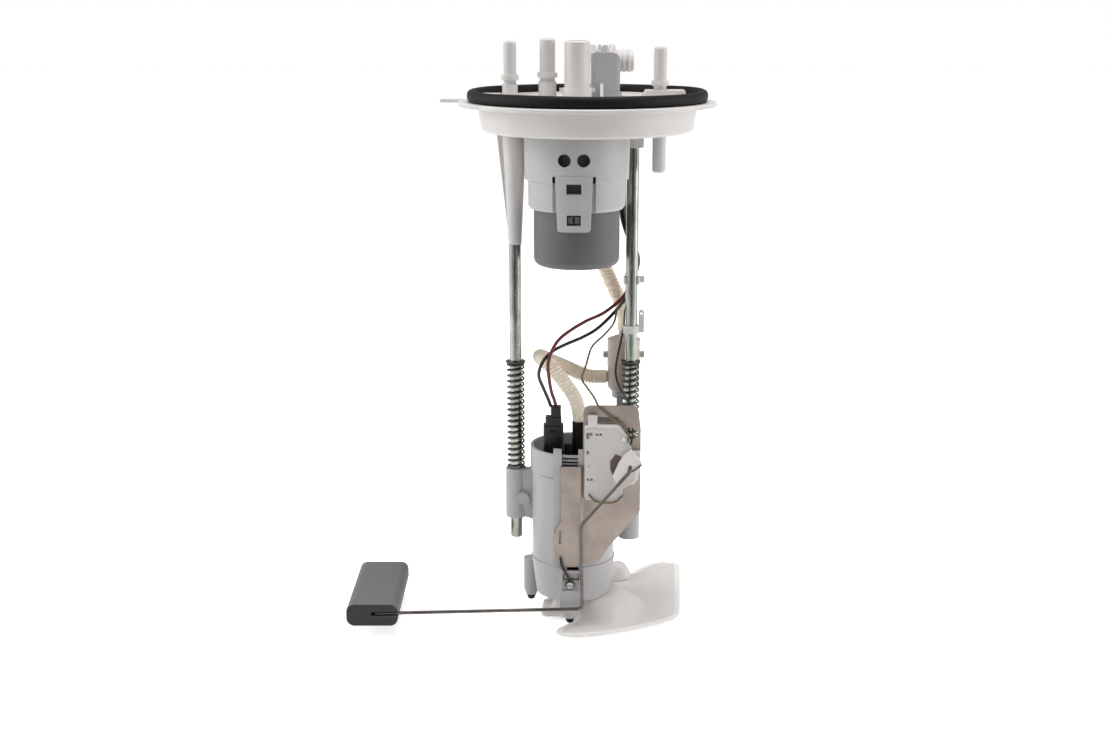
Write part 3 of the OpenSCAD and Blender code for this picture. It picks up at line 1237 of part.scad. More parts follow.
// Bent wire: pivot end, diagonal, drop and the run to the float
module float_wire() {
  drop = drop_point;
  knee = knee_point();
  color(dark_steel) union() {
    rod_between([pivot[0], arm_y, pivot[1]], [knee[0], arm_y, knee[1]]);
    rod_between([knee[0], arm_y, knee[1]], [elbow_point()[0], arm_y, elbow_point()[1]]);
    rod_between([elbow_point()[0], arm_y, elbow_point()[1]], [drop[0], arm_y, drop[1]]);
    rod_between([drop[0], arm_y, drop[1]], [float_at[0], arm_y, float_at[1]]);
    rod_between([float_at[0], arm_y, float_at[1]], [float_at[0], arm_y + 24, float_at[1]]);
    rod_between([pivot[0], arm_y, pivot[1]], [pivot[0], arm_y + 2.6, pivot[1]]);
    for (p = [pivot, knee, elbow_point(), drop, float_at]) translate([p[0], arm_y, p[1]])
      sphere(r = arm_r + 0.05, $fn = 24);
  }
}

// Straight piece of wire from a to b
module rod_between(a, b, r = arm_r) {
  v = b - a;
  translate(a) rotate([0, acos(v[2] / norm(v)), atan2(v[1], v[0])]) cylinder(r = r, h = norm(v), $fn = 24);
}

module float_block() {
  color("#232325") difference() {
    translate([float_at[0], float_front, float_at[1]]) rotate([-90, 0, 0])
      linear_extrude(float_len) round_square(float_w, float_t, 5);
    translate([float_at[0], float_front - 1, float_at[1]]) rotate([-90, 0, 0])
      cylinder(r = arm_r + 0.1, h = 29, $fn = 24);
    translate([float_at[0], float_front - 1, float_at[1] - arm_r - 0.3])
      cube([30, 1 + arm_y - float_front + arm_r + 0.3, arm_wire + 1.3]);
  }
}

flange_cap();
seal_ring();
connector_shell();
connector_terminals();
vent_elbow();
canister_holder();
canister_shell();
canister_lid();
canister_seal();
canister_float();
guide_rod_left();
guide_rod_right();
spring_washers();
stop_rings();
spring_left();
spring_right();
harness_clip();
harness_ring();
feed_hose();
harness_plug();
harness();
pump_lead_red();
pump_lead_black();
sender_lead_olive();
sender_lead_black();
pump_housing();
housing_ring();
lower_cup();
rubber_feet();
pump_case();
pump_cover();
pump_magnets();
carbon_brushes();
inlet_body();
armature();
impeller();
rubber_isolator();
pump_plug();
outlet_tube();
outlet_hose();
regulator_can();
regulator_seat();
regulator_spring();
regulator_socket();
sender_bracket();
sender_base();
resistor_card();
resistor_track();
card_lead();
bracket_screw();
ground_lead();
strainer_pouch();
strainer_frame();
arm_hub();
wiper();
arm_clip();
float_wire();
float_block();
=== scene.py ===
import json
import math

import bmesh
import bpy
import numpy as np
from mathutils import Matrix, Vector, geometry

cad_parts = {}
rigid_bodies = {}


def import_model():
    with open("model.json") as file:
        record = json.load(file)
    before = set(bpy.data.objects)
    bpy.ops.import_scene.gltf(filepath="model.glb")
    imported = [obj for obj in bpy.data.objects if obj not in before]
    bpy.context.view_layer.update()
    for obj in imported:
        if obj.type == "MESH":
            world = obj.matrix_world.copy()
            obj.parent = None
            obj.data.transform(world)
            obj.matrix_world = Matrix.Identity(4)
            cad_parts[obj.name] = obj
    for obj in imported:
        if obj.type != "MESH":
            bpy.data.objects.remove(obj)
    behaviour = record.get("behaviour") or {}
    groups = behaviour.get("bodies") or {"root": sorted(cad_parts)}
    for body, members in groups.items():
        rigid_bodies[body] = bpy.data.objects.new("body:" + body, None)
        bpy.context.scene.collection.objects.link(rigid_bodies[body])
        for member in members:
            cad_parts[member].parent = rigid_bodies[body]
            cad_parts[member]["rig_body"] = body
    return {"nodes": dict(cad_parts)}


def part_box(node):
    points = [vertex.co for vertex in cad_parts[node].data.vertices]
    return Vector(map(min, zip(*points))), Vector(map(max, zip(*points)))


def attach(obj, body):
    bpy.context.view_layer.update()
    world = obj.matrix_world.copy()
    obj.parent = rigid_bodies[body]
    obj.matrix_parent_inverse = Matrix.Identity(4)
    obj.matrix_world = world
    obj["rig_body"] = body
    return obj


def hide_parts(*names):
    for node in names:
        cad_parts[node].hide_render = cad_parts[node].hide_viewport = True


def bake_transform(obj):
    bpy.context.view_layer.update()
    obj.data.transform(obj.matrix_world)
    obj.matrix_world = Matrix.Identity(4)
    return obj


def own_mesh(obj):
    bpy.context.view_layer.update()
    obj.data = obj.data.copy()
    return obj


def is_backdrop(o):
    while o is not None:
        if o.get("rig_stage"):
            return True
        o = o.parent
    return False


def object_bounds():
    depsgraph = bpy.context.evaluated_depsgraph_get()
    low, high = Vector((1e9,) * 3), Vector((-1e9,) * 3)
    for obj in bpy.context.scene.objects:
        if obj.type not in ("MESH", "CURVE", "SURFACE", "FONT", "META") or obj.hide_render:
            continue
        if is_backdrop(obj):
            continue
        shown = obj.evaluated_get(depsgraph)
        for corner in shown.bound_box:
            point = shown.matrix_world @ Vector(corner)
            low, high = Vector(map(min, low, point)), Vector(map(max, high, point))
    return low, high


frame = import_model()
cad_low, cad_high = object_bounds()
mm = 0.001


# Camera, floor and light
# A 50 mm lens from the front and a little above, as for a catalogue picture. The part stands in a
# white tent, lit from both sides and from above, and the tent's front is open for the camera.
camera_data = bpy.data.cameras.new("camera")
camera_data.lens = 50
camera_data.sensor_width = 36
camera_data.clip_end = 20
camera = bpy.data.objects.new("camera", camera_data)
camera.location = (-0.020, -0.968, 0.064)
camera.rotation_euler = (math.radians(76.47), 0, 0)
bpy.context.scene.collection.objects.link(camera)
bpy.context.scene.camera = camera
bpy.context.scene.view_settings.view_transform = "Standard"


def colour(hex_code):
    """Linear colour of an sRGB hex code."""
    parts = [int(hex_code[i : i + 2], 16) / 255 for i in (1, 3, 5)]
    return [p / 12.92 if p <= 0.04045 else ((p + 0.055) / 1.055) ** 2.4 for p in parts] + [1.0]


def add(tree, kind, sockets=None, **settings):
    """A node with its settings, and with values or links for its sockets."""
    new = tree.nodes.new(kind)
    for name, value in settings.items():
        setattr(new, name, value)
    for name, value in (sockets or {}).items():
        if isinstance(value, bpy.types.NodeSocket):
            tree.links.new(value, new.inputs[name])
        else:
            new.inputs[name].default_value = value
    return new


def empty_material(name):
    """A new material with an empty node tree."""
    made = bpy.data.materials.new(name)
    made.use_nodes = True
    made.node_tree.nodes.clear()
    return made


def studio_paper():
    """Matt white paper. Camera, glossy and transmission rays see it lifted to white, so that
    only the object's own shadow shows on it."""
    made = empty_material("studio_paper")
    tree = made.node_tree
    path = add(tree, "ShaderNodeLightPath")
    seen = add(tree, "ShaderNodeMath", {0: path.outputs["Is Camera Ray"], 1: path.outputs["Is Glossy Ray"]},
               operation="ADD", use_clamp=True)
    seen = add(tree, "ShaderNodeMath", {0: seen.outputs[0], 1: path.outputs["Is Transmission Ray"]},
               operation="ADD", use_clamp=True)
    lift = add(tree, "ShaderNodeMath", {0: seen.outputs[0], 1: 0.62}, operation="MULTIPLY")
    glow = add(tree, "ShaderNodeEmission", {"Color": (1, 1, 1, 1), "Strength": lift.outputs[0]})
    paper = add(tree, "ShaderNodeBsdfDiffuse", {"Color": colour("#f4f4f4"), "Roughness": 1.0})
    both = add(tree, "ShaderNodeAddShader", {0: paper.outputs[0], 1: glow.outputs[0]})
    add(tree, "ShaderNodeOutputMaterial", {"Surface": both.outputs[0]})
    return made


floor_mesh = bpy.data.meshes.new("floor")
floor_z = cad_low.z - 0.5 * mm
floor_mesh.from_pydata([(-6, -0.6, floor_z), (6, -0.6, floor_z), (6, 8, floor_z), (-6, 8, floor_z)], [],
                       [(0, 1, 2, 3)])
floor_mesh.materials.append(studio_paper())
floor = bpy.data.objects.new("floor", floor_mesh)
bpy.context.scene.collection.objects.link(floor)
floor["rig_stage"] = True

world = bpy.data.worlds.new("studio")
world.use_nodes = True
world.node_tree.nodes.clear()
sky_path = add(world.node_tree, "ShaderNodeLightPath")
sky_seen = add(world.node_tree, "ShaderNodeMath",
               {0: sky_path.outputs["Is Camera Ray"], 1: sky_path.outputs["Is Transmission Ray"]},
               operation="ADD", use_clamp=True)
sky_where = add(world.node_tree, "ShaderNodeTexCoord")
sky_axes = add(world.node_tree, "ShaderNodeSeparateXYZ", {"Vector": sky_where.outputs["Generated"]})
# Seen from the part, the tent's opening is dark to 11 degrees round the front and fades out
# at 33 degrees
sky_open = add(world.node_tree, "ShaderNodeMapRange",
               {"Value": sky_axes.outputs["Y"], "From Min": -0.98, "From Max": -0.84,
                "To Min": 0.02, "To Max": 0.5})
sky_soft = add(world.node_tree, "ShaderNodeBackground",
               {"Color": colour("#f4f4f6"), "Strength": sky_open.outputs["Result"]})
sky_white = add(world.node_tree, "ShaderNodeBackground", {"Color": (1, 1, 1, 1), "Strength": 1.0})
sky_mix = add(world.node_tree, "ShaderNodeMixShader",
              {0: sky_seen.outputs[0], 1: sky_soft.outputs[0], 2: sky_white.outputs[0]})
add(world.node_tree, "ShaderNodeOutputWorld", {"Surface": sky_mix.outputs[0]})
bpy.context.scene.world = world
part_middle = Vector((0, 0, -0.15))


def soft_box(name, place, size, watts):
    """A square area lamp aimed at the middle of the part."""
    lamp = bpy.data.lights.new(name, "AREA")
    lamp.shape = "SQUARE"
    lamp.size = size
    lamp.energy = watts
    made = bpy.data.objects.new(name, lamp)
    made.location = place
    made.rotation_euler = (part_middle - Vector(place)).to_track_quat("-Z", "Y").to_euler()
    bpy.context.scene.collection.objects.link(made)


soft_box("side_left", (-1.4, -0.15, 0.4), 0.9, 11)
soft_box("side_right", (1.4, -0.3, 0.15), 0.9, 8)
soft_box("above", (0.1, -0.1, 1.5), 1.0, 20)


# Flange cap
# One injection moulding of white acetal: rim, skirt, nipples, pads and the socket of the left
# rod. Acetal is dense and a little waxy, so light enters it slightly and edges look soft.
flow_mark = 22 * mm


def moulded_plastic(name, pale, deep, rough, scatter=0.0, scatter_mm=2.0, grain_mm=0.8, grain=0.06):
    """Injection moulded plastic: broad flow marks in the colour, and a fine spark-eroded grain
    from the mould, drawn at grain_mm."""
    made = empty_material(name)
    tree = made.node_tree
    where = add(tree, "ShaderNodeTexCoord")
    flow = add(tree, "ShaderNodeTexNoise",
               {"Vector": where.outputs["Object"], "Scale": 1 / flow_mark, "Detail": 3.0})
    tint = add(tree, "ShaderNodeMix", {"Factor": flow.outputs["Fac"], "A": colour(deep), "B": colour(pale)},
               data_type="RGBA")
    fine = add(tree, "ShaderNodeTexNoise",
               {"Vector": where.outputs["Object"], "Scale": 1 / (grain_mm * mm), "Detail": 2.0})
    gloss = add(tree, "ShaderNodeMapRange",
                {"Value": flow.outputs["Fac"], "To Min": rough - 0.06, "To Max": rough + 0.06})
    relief = add(tree, "ShaderNodeBump",
                 {"Height": fine.outputs["Fac"], "Strength": grain, "Distance": 0.1 * mm})
    skin = add(tree, "ShaderNodeBsdfPrincipled",
               {"Base Color": tint.outputs["Result"], "Roughness": gloss.outputs["Result"], "IOR": 1.48,
                "Normal": relief.outputs["Normal"], "Subsurface Weight": scatter,
                "Subsurface Scale": scatter_mm * mm, "Subsurface Radius": (1.0, 0.9, 0.8)})
    add(tree, "ShaderNodeOutputMaterial", {"Surface": skin.outputs[0]})
    return made


white_acetal = moulded_plastic("moulded_white_acetal", "#dddad7", "#cfccc9", 0.42, scatter=0.12)
same_point = 0.004 * mm
sharp_edge = math.radians(32)


def moulding(node, material, edge=0.3 * mm, turns=2):
    """The CAD piece as its mould makes it: the same walls with a small round on each edge."""
    source = frame["nodes"][node].data
    mesh = bpy.data.meshes.new(node + "_made")
    mesh.from_pydata([v.co for v in source.vertices], [], [p.vertices for p in source.polygons])
    shape = bmesh.new()
    shape.from_mesh(mesh)
    bmesh.ops.remove_doubles(shape, verts=shape.verts, dist=same_point)
    bmesh.ops.dissolve_limit(shape, angle_limit=math.radians(1.0), verts=shape.verts, edges=shape.edges)
    shape.to_mesh(mesh)
    shape.free()
    mesh.shade_smooth()
    mesh.set_sharp_from_angle(angle=sharp_edge)
    made = bpy.data.objects.new(node + "_made", mesh)
    bpy.context.scene.collection.objects.link(made)
    mesh.materials.append(material)
    if edge:
        round_off = made.modifiers.new("round", "BEVEL")
        round_off.width = edge
        round_off.segments = turns
        round_off.limit_method = "ANGLE"
        round_off.angle_limit = sharp_edge
        round_off.use_clamp_overlap = True
        round_off.miter_outer = "MITER_ARC"
        round_off.harden_normals = True
    body = frame["nodes"][node]["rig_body"]
    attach(made, body)
    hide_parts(node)
    return made


moulding("flange_cap", white_acetal, 0.35 * mm)


# Seal ring
# An extruded ring of black nitrile rubber, laid round the deck. It is soft, so it doesn't lie
# quite flat, and its skin is matt.
def nitrile_rubber():
    """Black nitrile: a matt skin with a dusting of talc in its pores, 1.2 mm apart."""
    made = empty_material("nitrile_rubber")
    tree = made.node_tree
    where = add(tree, "ShaderNodeTexCoord")
    pores = add(tree, "ShaderNodeTexNoise",
                {"Vector": where.outputs["Object"], "Scale": 1 / (1.2 * mm), "Detail": 4.0})
    dust_and_top_light = add(tree, "ShaderNodeTexNoise",
               {"Vector": where.outputs["Object"], "Scale": 1 / (9 * mm), "Detail": 2.0})
    tint = add(tree, "ShaderNodeMix",
               {"Factor": dust_and_top_light.outputs["Fac"], "A": colour("#050505"), "B": colour("#0e0d0d")},
               data_type="RGBA")
    relief = add(tree, "ShaderNodeBump",
                 {"Height": pores.outputs["Fac"], "Strength": 0.25, "Distance": 0.1 * mm})
    skin = add(tree, "ShaderNodeBsdfPrincipled",
               {"Base Color": tint.outputs["Result"], "Roughness": 0.6, "Specular IOR Level": 0.25,
                "Normal": relief.outputs["Normal"]})
    add(tree, "ShaderNodeOutputMaterial", {"Surface": skin.outputs[0]})
    return made


black_rubber = nitrile_rubber()
seal_low, seal_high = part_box("seal_ring")
seal_width = 5.6 * mm
seal_height = seal_high.z - seal_low.z
seal_radius = (seal_high.x - seal_low.x) / 2 - seal_width / 2
seal_wave = 0.5 * mm


def new_piece(name, mesh, material):
    """An object at the origin for a finished mesh, smooth and with its material."""
    mesh.materials.append(material)
    mesh.shade_smooth()
    made = bpy.data.objects.new(name, mesh)
    bpy.context.scene.collection.objects.link(made)
    return made


def revolved_seal(steps=180, around=20):
    """The seal's rounded section carried round the deck, with a slow wave in its top."""
    shape = bmesh.new()
    rings = []
    for i in range(steps):
        turn = 2 * math.pi * i / steps
        lift = seal_wave * (0.5 + 0.5 * math.sin(3 * turn + 0.6)) * (0.6 + 0.4 * math.sin(5 * turn))
        ring = []
        for k in range(around):
            a = 2 * math.pi * k / around
            across = seal_width / 2 * math.copysign(abs(math.cos(a)) ** 0.8, math.cos(a))
            high = seal_height / 2 * math.copysign(abs(math.sin(a)) ** 0.8, math.sin(a))
            r = seal_radius + across
            z = seal_low.z + seal_height / 2 + high + (lift if high > 0 else 0)
            ring.append(shape.verts.new((r * math.cos(turn), r * math.sin(turn), z)))
        rings.append(ring)
    for i in range(steps):
        after = rings[(i + 1) % steps]
        for k in range(around):
            n = (k + 1) % around
            shape.faces.new((rings[i][k], after[k], after[n], rings[i][n]))
    bmesh.ops.recalc_face_normals(shape, faces=shape.faces)
    mesh = bpy.data.meshes.new("seal")
    shape.to_mesh(mesh)
    shape.free()
    return mesh


seal = new_piece("seal", revolved_seal(), black_rubber)
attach(seal, "flange_unit")
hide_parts("seal_ring")


# Electrical socket and vent elbow
# The socket is a separate moulding of grey nylon with four stamped brass blades. The elbow is
# white acetal, welded to the deck behind it.
# Glass fibre in the nylon leaves a dull, slightly rough skin
grey_nylon_light = moulded_plastic("glass_filled_nylon_light", "#bababd", "#aaaaad", 0.5, grain=0.12)


def worked_metal(name, pale, deep, rough, streak=(1, 1, 1), streak_mm=1.5, bump=0.08):
    """Bare or plated metal: streaks from drawing or rolling, stretched by streak."""
    made = empty_material(name)
    tree = made.node_tree
    where = add(tree, "ShaderNodeTexCoord")
    drawn = add(tree, "ShaderNodeMapping", {"Vector": where.outputs["Object"], "Scale": streak})
    lines = add(tree, "ShaderNodeTexNoise",
                {"Vector": drawn.outputs["Vector"], "Scale": 1 / (streak_mm * mm), "Detail": 4.0})
    cloud = add(tree, "ShaderNodeTexNoise",
                {"Vector": where.outputs["Object"], "Scale": 1 / (14 * mm), "Detail": 2.0})
    both = add(tree, "ShaderNodeMath", {0: lines.outputs["Fac"], 1: cloud.outputs["Fac"]},
               operation="MULTIPLY")
    spread = add(tree, "ShaderNodeMapRange", {"Value": both.outputs[0], "From Min": 0.1, "From Max": 0.4})
    tint = add(tree, "ShaderNodeMix",
               {"Factor": spread.outputs["Result"], "A": colour(deep), "B": colour(pale)},
               data_type="RGBA")
    gloss = add(tree, "ShaderNodeMapRange",
                {"Value": lines.outputs["Fac"], "To Min": rough - 0.08, "To Max": rough + 0.1})
    relief = add(tree, "ShaderNodeBump",
                 {"Height": lines.outputs["Fac"], "Strength": bump, "Distance": 0.05 * mm})
    skin = add(tree, "ShaderNodeBsdfPrincipled",
               {"Base Color": tint.outputs["Result"], "Metallic": 1.0, "Roughness": gloss.outputs["Result"],
                "Normal": relief.outputs["Normal"]})
    add(tree, "ShaderNodeOutputMaterial", {"Surface": skin.outputs[0]})
    return made


# Bare stamped brass is a warm yellow with a faint mottle
stamped_brass = worked_metal("stamped_brass", "#c9ab66", "#a3874c", 0.35)
moulding("connector_shell", grey_nylon_light)
moulding("connector_terminals", stamped_brass, 0.1 * mm)
moulding("vent_elbow", white_acetal)


# Vent canister and its holder
# The holder is a white snap-in cup. The canister in it is grey glass-filled nylon, which has a
# dull, slightly mottled skin.
grey_nylon = moulded_plastic("glass_filled_nylon", "#68676a", "#575659", 0.5, grain=0.14)
# The holder's colour is greyer than the flange cap's: painted shade, for the flange's shade that falls on it
holder_acetal_painted_shade = moulded_plastic("holder_acetal_painted_shade", "#c2c0be", "#b6b4b2", 0.42, scatter=0.12)
moulding("canister_holder", holder_acetal_painted_shade)
moulding("canister_shell", grey_nylon)
moulding("canister_lid", grey_nylon)
moulding("canister_seal", black_rubber, 0.2 * mm)
moulding("canister_float", white_acetal)


# Guide rods
# Cold-drawn steel bars with bright zinc plating, 8 mm thick. Drawing leaves faint lines along
# the bar, so the texture is stretched along Z.
bright_steel = worked_metal("zinc_plated_bar", "#adb0a8", "#83877f", 0.24, streak=(1, 1, 0.08), streak_mm=0.9)
moulding("guide_rod_left", bright_steel, 0.1 * mm)
moulding("guide_rod_right", bright_steel, 0.1 * mm)
# Spring steel is dark grey from hardening, and its oil gives it a smooth gleam
dark_spring_steel = worked_metal("oiled_spring_wire", "#656862", "#33352f", 0.33, bump=0.04)
moulding("spring_washers", dark_spring_steel, 0.1 * mm)
moulding("stop_rings", dark_spring_steel, 0.1 * mm)


# Coil springs
# Each is 19 turns of 1.3 mm spring wire wound 11.8 mm wide, and a little over half a turn at
# each end lies close. They sit between a washer on the rod and the top of the sleeve.
spring_wire = 1.3 * mm
spring_turns = 19
closed_turns = 0.6
steps_per_turn = 28


def coil_tree():
    """Winds a wire: a mesh line of steps is bent into a helix, with the end turns lying close,
    and is given the wire's thickness."""
    tree = bpy.data.node_groups.new("wound_spring", "GeometryNodeTree")
    tree.interface.new_socket("Geometry", in_out="OUTPUT", socket_type="NodeSocketGeometry")
    kinds = {"Mean radius": "Float", "Wire radius": "Float", "Height": "Float", "Turns": "Float",
             "Closed turns": "Float", "Steps": "Int", "Centre": "Vector", "Metal": "Material"}
    names = {}
    for name, kind in kinds.items():
        socket = tree.interface.new_socket(name, in_out="INPUT", socket_type="NodeSocket" + kind)
        names[name] = socket.identifier
    given = add(tree, "NodeGroupInput")
    line = add(tree, "GeometryNodeMeshLine", {"Count": given.outputs["Steps"]})
    index = add(tree, "GeometryNodeInputIndex")
    last = add(tree, "ShaderNodeMath", {0: given.outputs["Steps"], 1: 1.0}, operation="SUBTRACT")
    share = add(tree, "ShaderNodeMath", {0: index.outputs[0], 1: last.outputs[0]}, operation="DIVIDE")
    turn = add(tree, "ShaderNodeMath", {0: share.outputs[0], 1: given.outputs["Turns"]}, operation="MULTIPLY")
    angle = add(tree, "ShaderNodeMath", {0: turn.outputs[0], 1: 2 * math.pi}, operation="MULTIPLY")
    cosine = add(tree, "ShaderNodeMath", {0: angle.outputs[0]}, operation="COSINE")
    sine = add(tree, "ShaderNodeMath", {0: angle.outputs[0]}, operation="SINE")
    x = add(tree, "ShaderNodeMath", {0: cosine.outputs[0], 1: given.outputs["Mean radius"]},
            operation="MULTIPLY")
    y = add(tree, "ShaderNodeMath", {0: sine.outputs[0], 1: given.outputs["Mean radius"]},
            operation="MULTIPLY")
    # The wire's rise: one wire thickness a turn at each end, and even between them
    pitch = add(tree, "ShaderNodeMath", {0: given.outputs["Wire radius"], 1: 2.05}, operation="MULTIPLY")
    start = add(tree, "ShaderNodeMath", {0: given.outputs["Closed turns"], 1: pitch.outputs[0]},
                operation="MULTIPLY")
    stop_turn = add(tree, "ShaderNodeMath",
                    {0: given.outputs["Turns"], 1: given.outputs["Closed turns"]}, operation="SUBTRACT")
    stop = add(tree, "ShaderNodeMath", {0: given.outputs["Height"], 1: start.outputs[0]},
               operation="SUBTRACT")
    low = add(tree, "ShaderNodeMapRange",
              {"Value": turn.outputs[0], "From Min": 0.0, "From Max": given.outputs["Closed turns"],
               "To Min": 0.0, "To Max": start.outputs[0]})
    middle = add(tree, "ShaderNodeMapRange",
                 {"Value": turn.outputs[0], "From Min": given.outputs["Closed turns"],
                  "From Max": stop_turn.outputs[0], "To Min": 0.0, "To Max": 1.0},
                 interpolation_type="LINEAR")
    span = add(tree, "ShaderNodeMath", {0: stop.outputs[0], 1: start.outputs[0]}, operation="SUBTRACT")
    rise = add(tree, "ShaderNodeMath", {0: middle.outputs["Result"], 1: span.outputs[0]},
               operation="MULTIPLY")
    high = add(tree, "ShaderNodeMapRange",
               {"Value": turn.outputs[0], "From Min": stop_turn.outputs[0],
                "From Max": given.outputs["Turns"], "To Min": 0.0, "To Max": start.outputs[0]})
    z = add(tree, "ShaderNodeMath", {0: low.outputs["Result"], 1: rise.outputs[0]}, operation="ADD")
    z = add(tree, "ShaderNodeMath", {0: z.outputs[0], 1: high.outputs["Result"]}, operation="ADD")
    place = add(tree, "ShaderNodeCombineXYZ", {"X": x.outputs[0], "Y": y.outputs[0], "Z": z.outputs[0]})
    moved = add(tree, "ShaderNodeVectorMath", {0: place.outputs[0], 1: given.outputs["Centre"]},
                operation="ADD")
    wound = add(tree, "GeometryNodeSetPosition",
                {"Geometry": line.outputs["Mesh"], "Position": moved.outputs[0]})
    curve = add(tree, "GeometryNodeMeshToCurve", {"Mesh": wound.outputs["Geometry"]})
    section = add(tree, "GeometryNodeCurvePrimitiveCircle",
                  {"Resolution": 10, "Radius": given.outputs["Wire radius"]})
    wire = add(tree, "GeometryNodeCurveToMesh",
               {"Curve": curve.outputs["Curve"], "Profile Curve": section.outputs["Curve"],
                "Fill Caps": True})
    real = add(tree, "GeometryNodeRealizeInstances", {"Geometry": wire.outputs["Mesh"]})
    dressed = add(tree, "GeometryNodeSetMaterial",
                  {"Geometry": real.outputs["Geometry"], "Material": given.outputs["Metal"]})
    add(tree, "NodeGroupOutput", {"Geometry": dressed.outputs["Geometry"]})
    return tree, names


def grown(name, tree, sockets, values):
    """The plain mesh that a geometry tree makes from the given values."""
    carrier = bpy.data.objects.new(name + "_tree", bpy.data.meshes.new(name + "_tree"))
    bpy.context.scene.collection.objects.link(carrier)
    grower = carrier.modifiers.new("grow", "NODES")
    grower.node_group = tree
    for key, value in values.items():
        grower[sockets[key]] = value
    seen = carrier.evaluated_get(bpy.context.evaluated_depsgraph_get())
    mesh = bpy.data.meshes.new_from_object(seen)
    mesh.name = name
    carrier.modifiers.remove(grower)
    bpy.data.objects.remove(carrier)
    mesh.shade_smooth()
    made = bpy.data.objects.new(name, mesh)
    bpy.context.scene.collection.objects.link(made)
    return made


coil, coil_inputs = coil_tree()
for side in ("left", "right"):
    low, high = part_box("spring_" + side)
    centre = (low + high) / 2
    made = grown("coil_spring_" + side, coil, coil_inputs, {
        "Mean radius": (high.x - low.x - spring_wire) / 2,
        "Wire radius": spring_wire / 2,
        "Height": high.z - low.z - spring_wire,
        "Turns": float(spring_turns),
        "Closed turns": closed_turns,
        "Steps": spring_turns * steps_per_turn,
        "Centre": (centre.x, centre.y, low.z + spring_wire / 2),
        "Metal": dark_spring_steel,
    })
    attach(made, "flange_unit")
    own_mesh(made)
    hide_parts("spring_" + side)


# Harness and its clips
# Four leads run in a black sleeve behind the right rod, held by two white acetal clips.
# Below the lower one they part: two go to the pump's plug and two to the level sender.
moulding("harness_clip", white_acetal, 0.2 * mm)
moulding("harness_ring", white_acetal, 0.2 * mm)
# Unfilled nylon is a deep, even black with a soft shine
black_plastic = moulded_plastic("moulded_black_nylon", "#0e0c0c", "#080707", 0.42)
moulding("harness_plug", black_plastic)


def smooth_run(points, per=10):
    """A smooth curve through route points given in millimetres, as points in metres."""
    run = []
    for i in range(len(points) - 1):
        a, b, c, d = (Vector(points[min(max(i + k, 0), len(points) - 1)]) for k in (-1, 0, 1, 2))
        for k in range(per):
            t = k / per
            run.append(0.5 * (2 * b + (c - a) * t + (2 * a - 5 * b + 4 * c - d) * t * t
                              + (3 * b - a - 3 * c + d) * t ** 3) * mm)
    run.append(Vector(points[-1]) * mm)
    return run


def swept(name, run, radii, sides=12):
    """A closed tube along a run of points, with a radius for each of them."""
    shape = bmesh.new()
    # Any direction along which no run starts
    side = Vector((0.31, 0.9, 0.17))
    rings = []
    for i, point in enumerate(run):
        ahead = (run[min(i + 1, len(run) - 1)] - run[max(i - 1, 0)]).normalized()
        side = (side - side.dot(ahead) * ahead).normalized()
        other = ahead.cross(side)
        ring = []
        for k in range(sides):
            a = 2 * math.pi * k / sides
            ring.append(shape.verts.new(point + radii[i] * (math.cos(a) * side + math.sin(a) * other)))
        rings.append(ring)
    for before, after in zip(rings, rings[1:]):
        for k in range(sides):
            n = (k + 1) % sides
            shape.faces.new((before[k], before[n], after[n], after[k]))
    shape.faces.new(list(reversed(rings[0])))
    shape.faces.new(rings[-1])
    mesh = bpy.data.meshes.new(name)
    shape.to_mesh(mesh)
    shape.free()
    return mesh


def wire_along(name, run, radius, skin, sides=12):
    """A wire or lead of one thickness along a run of points."""
    return new_piece(name, swept(name, run, [radius] * len(run), sides), skin)


def wire_insulation(name, pale, deep):
    """Extruded PVC insulation: smooth, with a soft sheen and a slightly uneven colour."""
    return moulded_plastic(name, pale, deep, 0.36, grain_mm=0.5, grain=0.03)


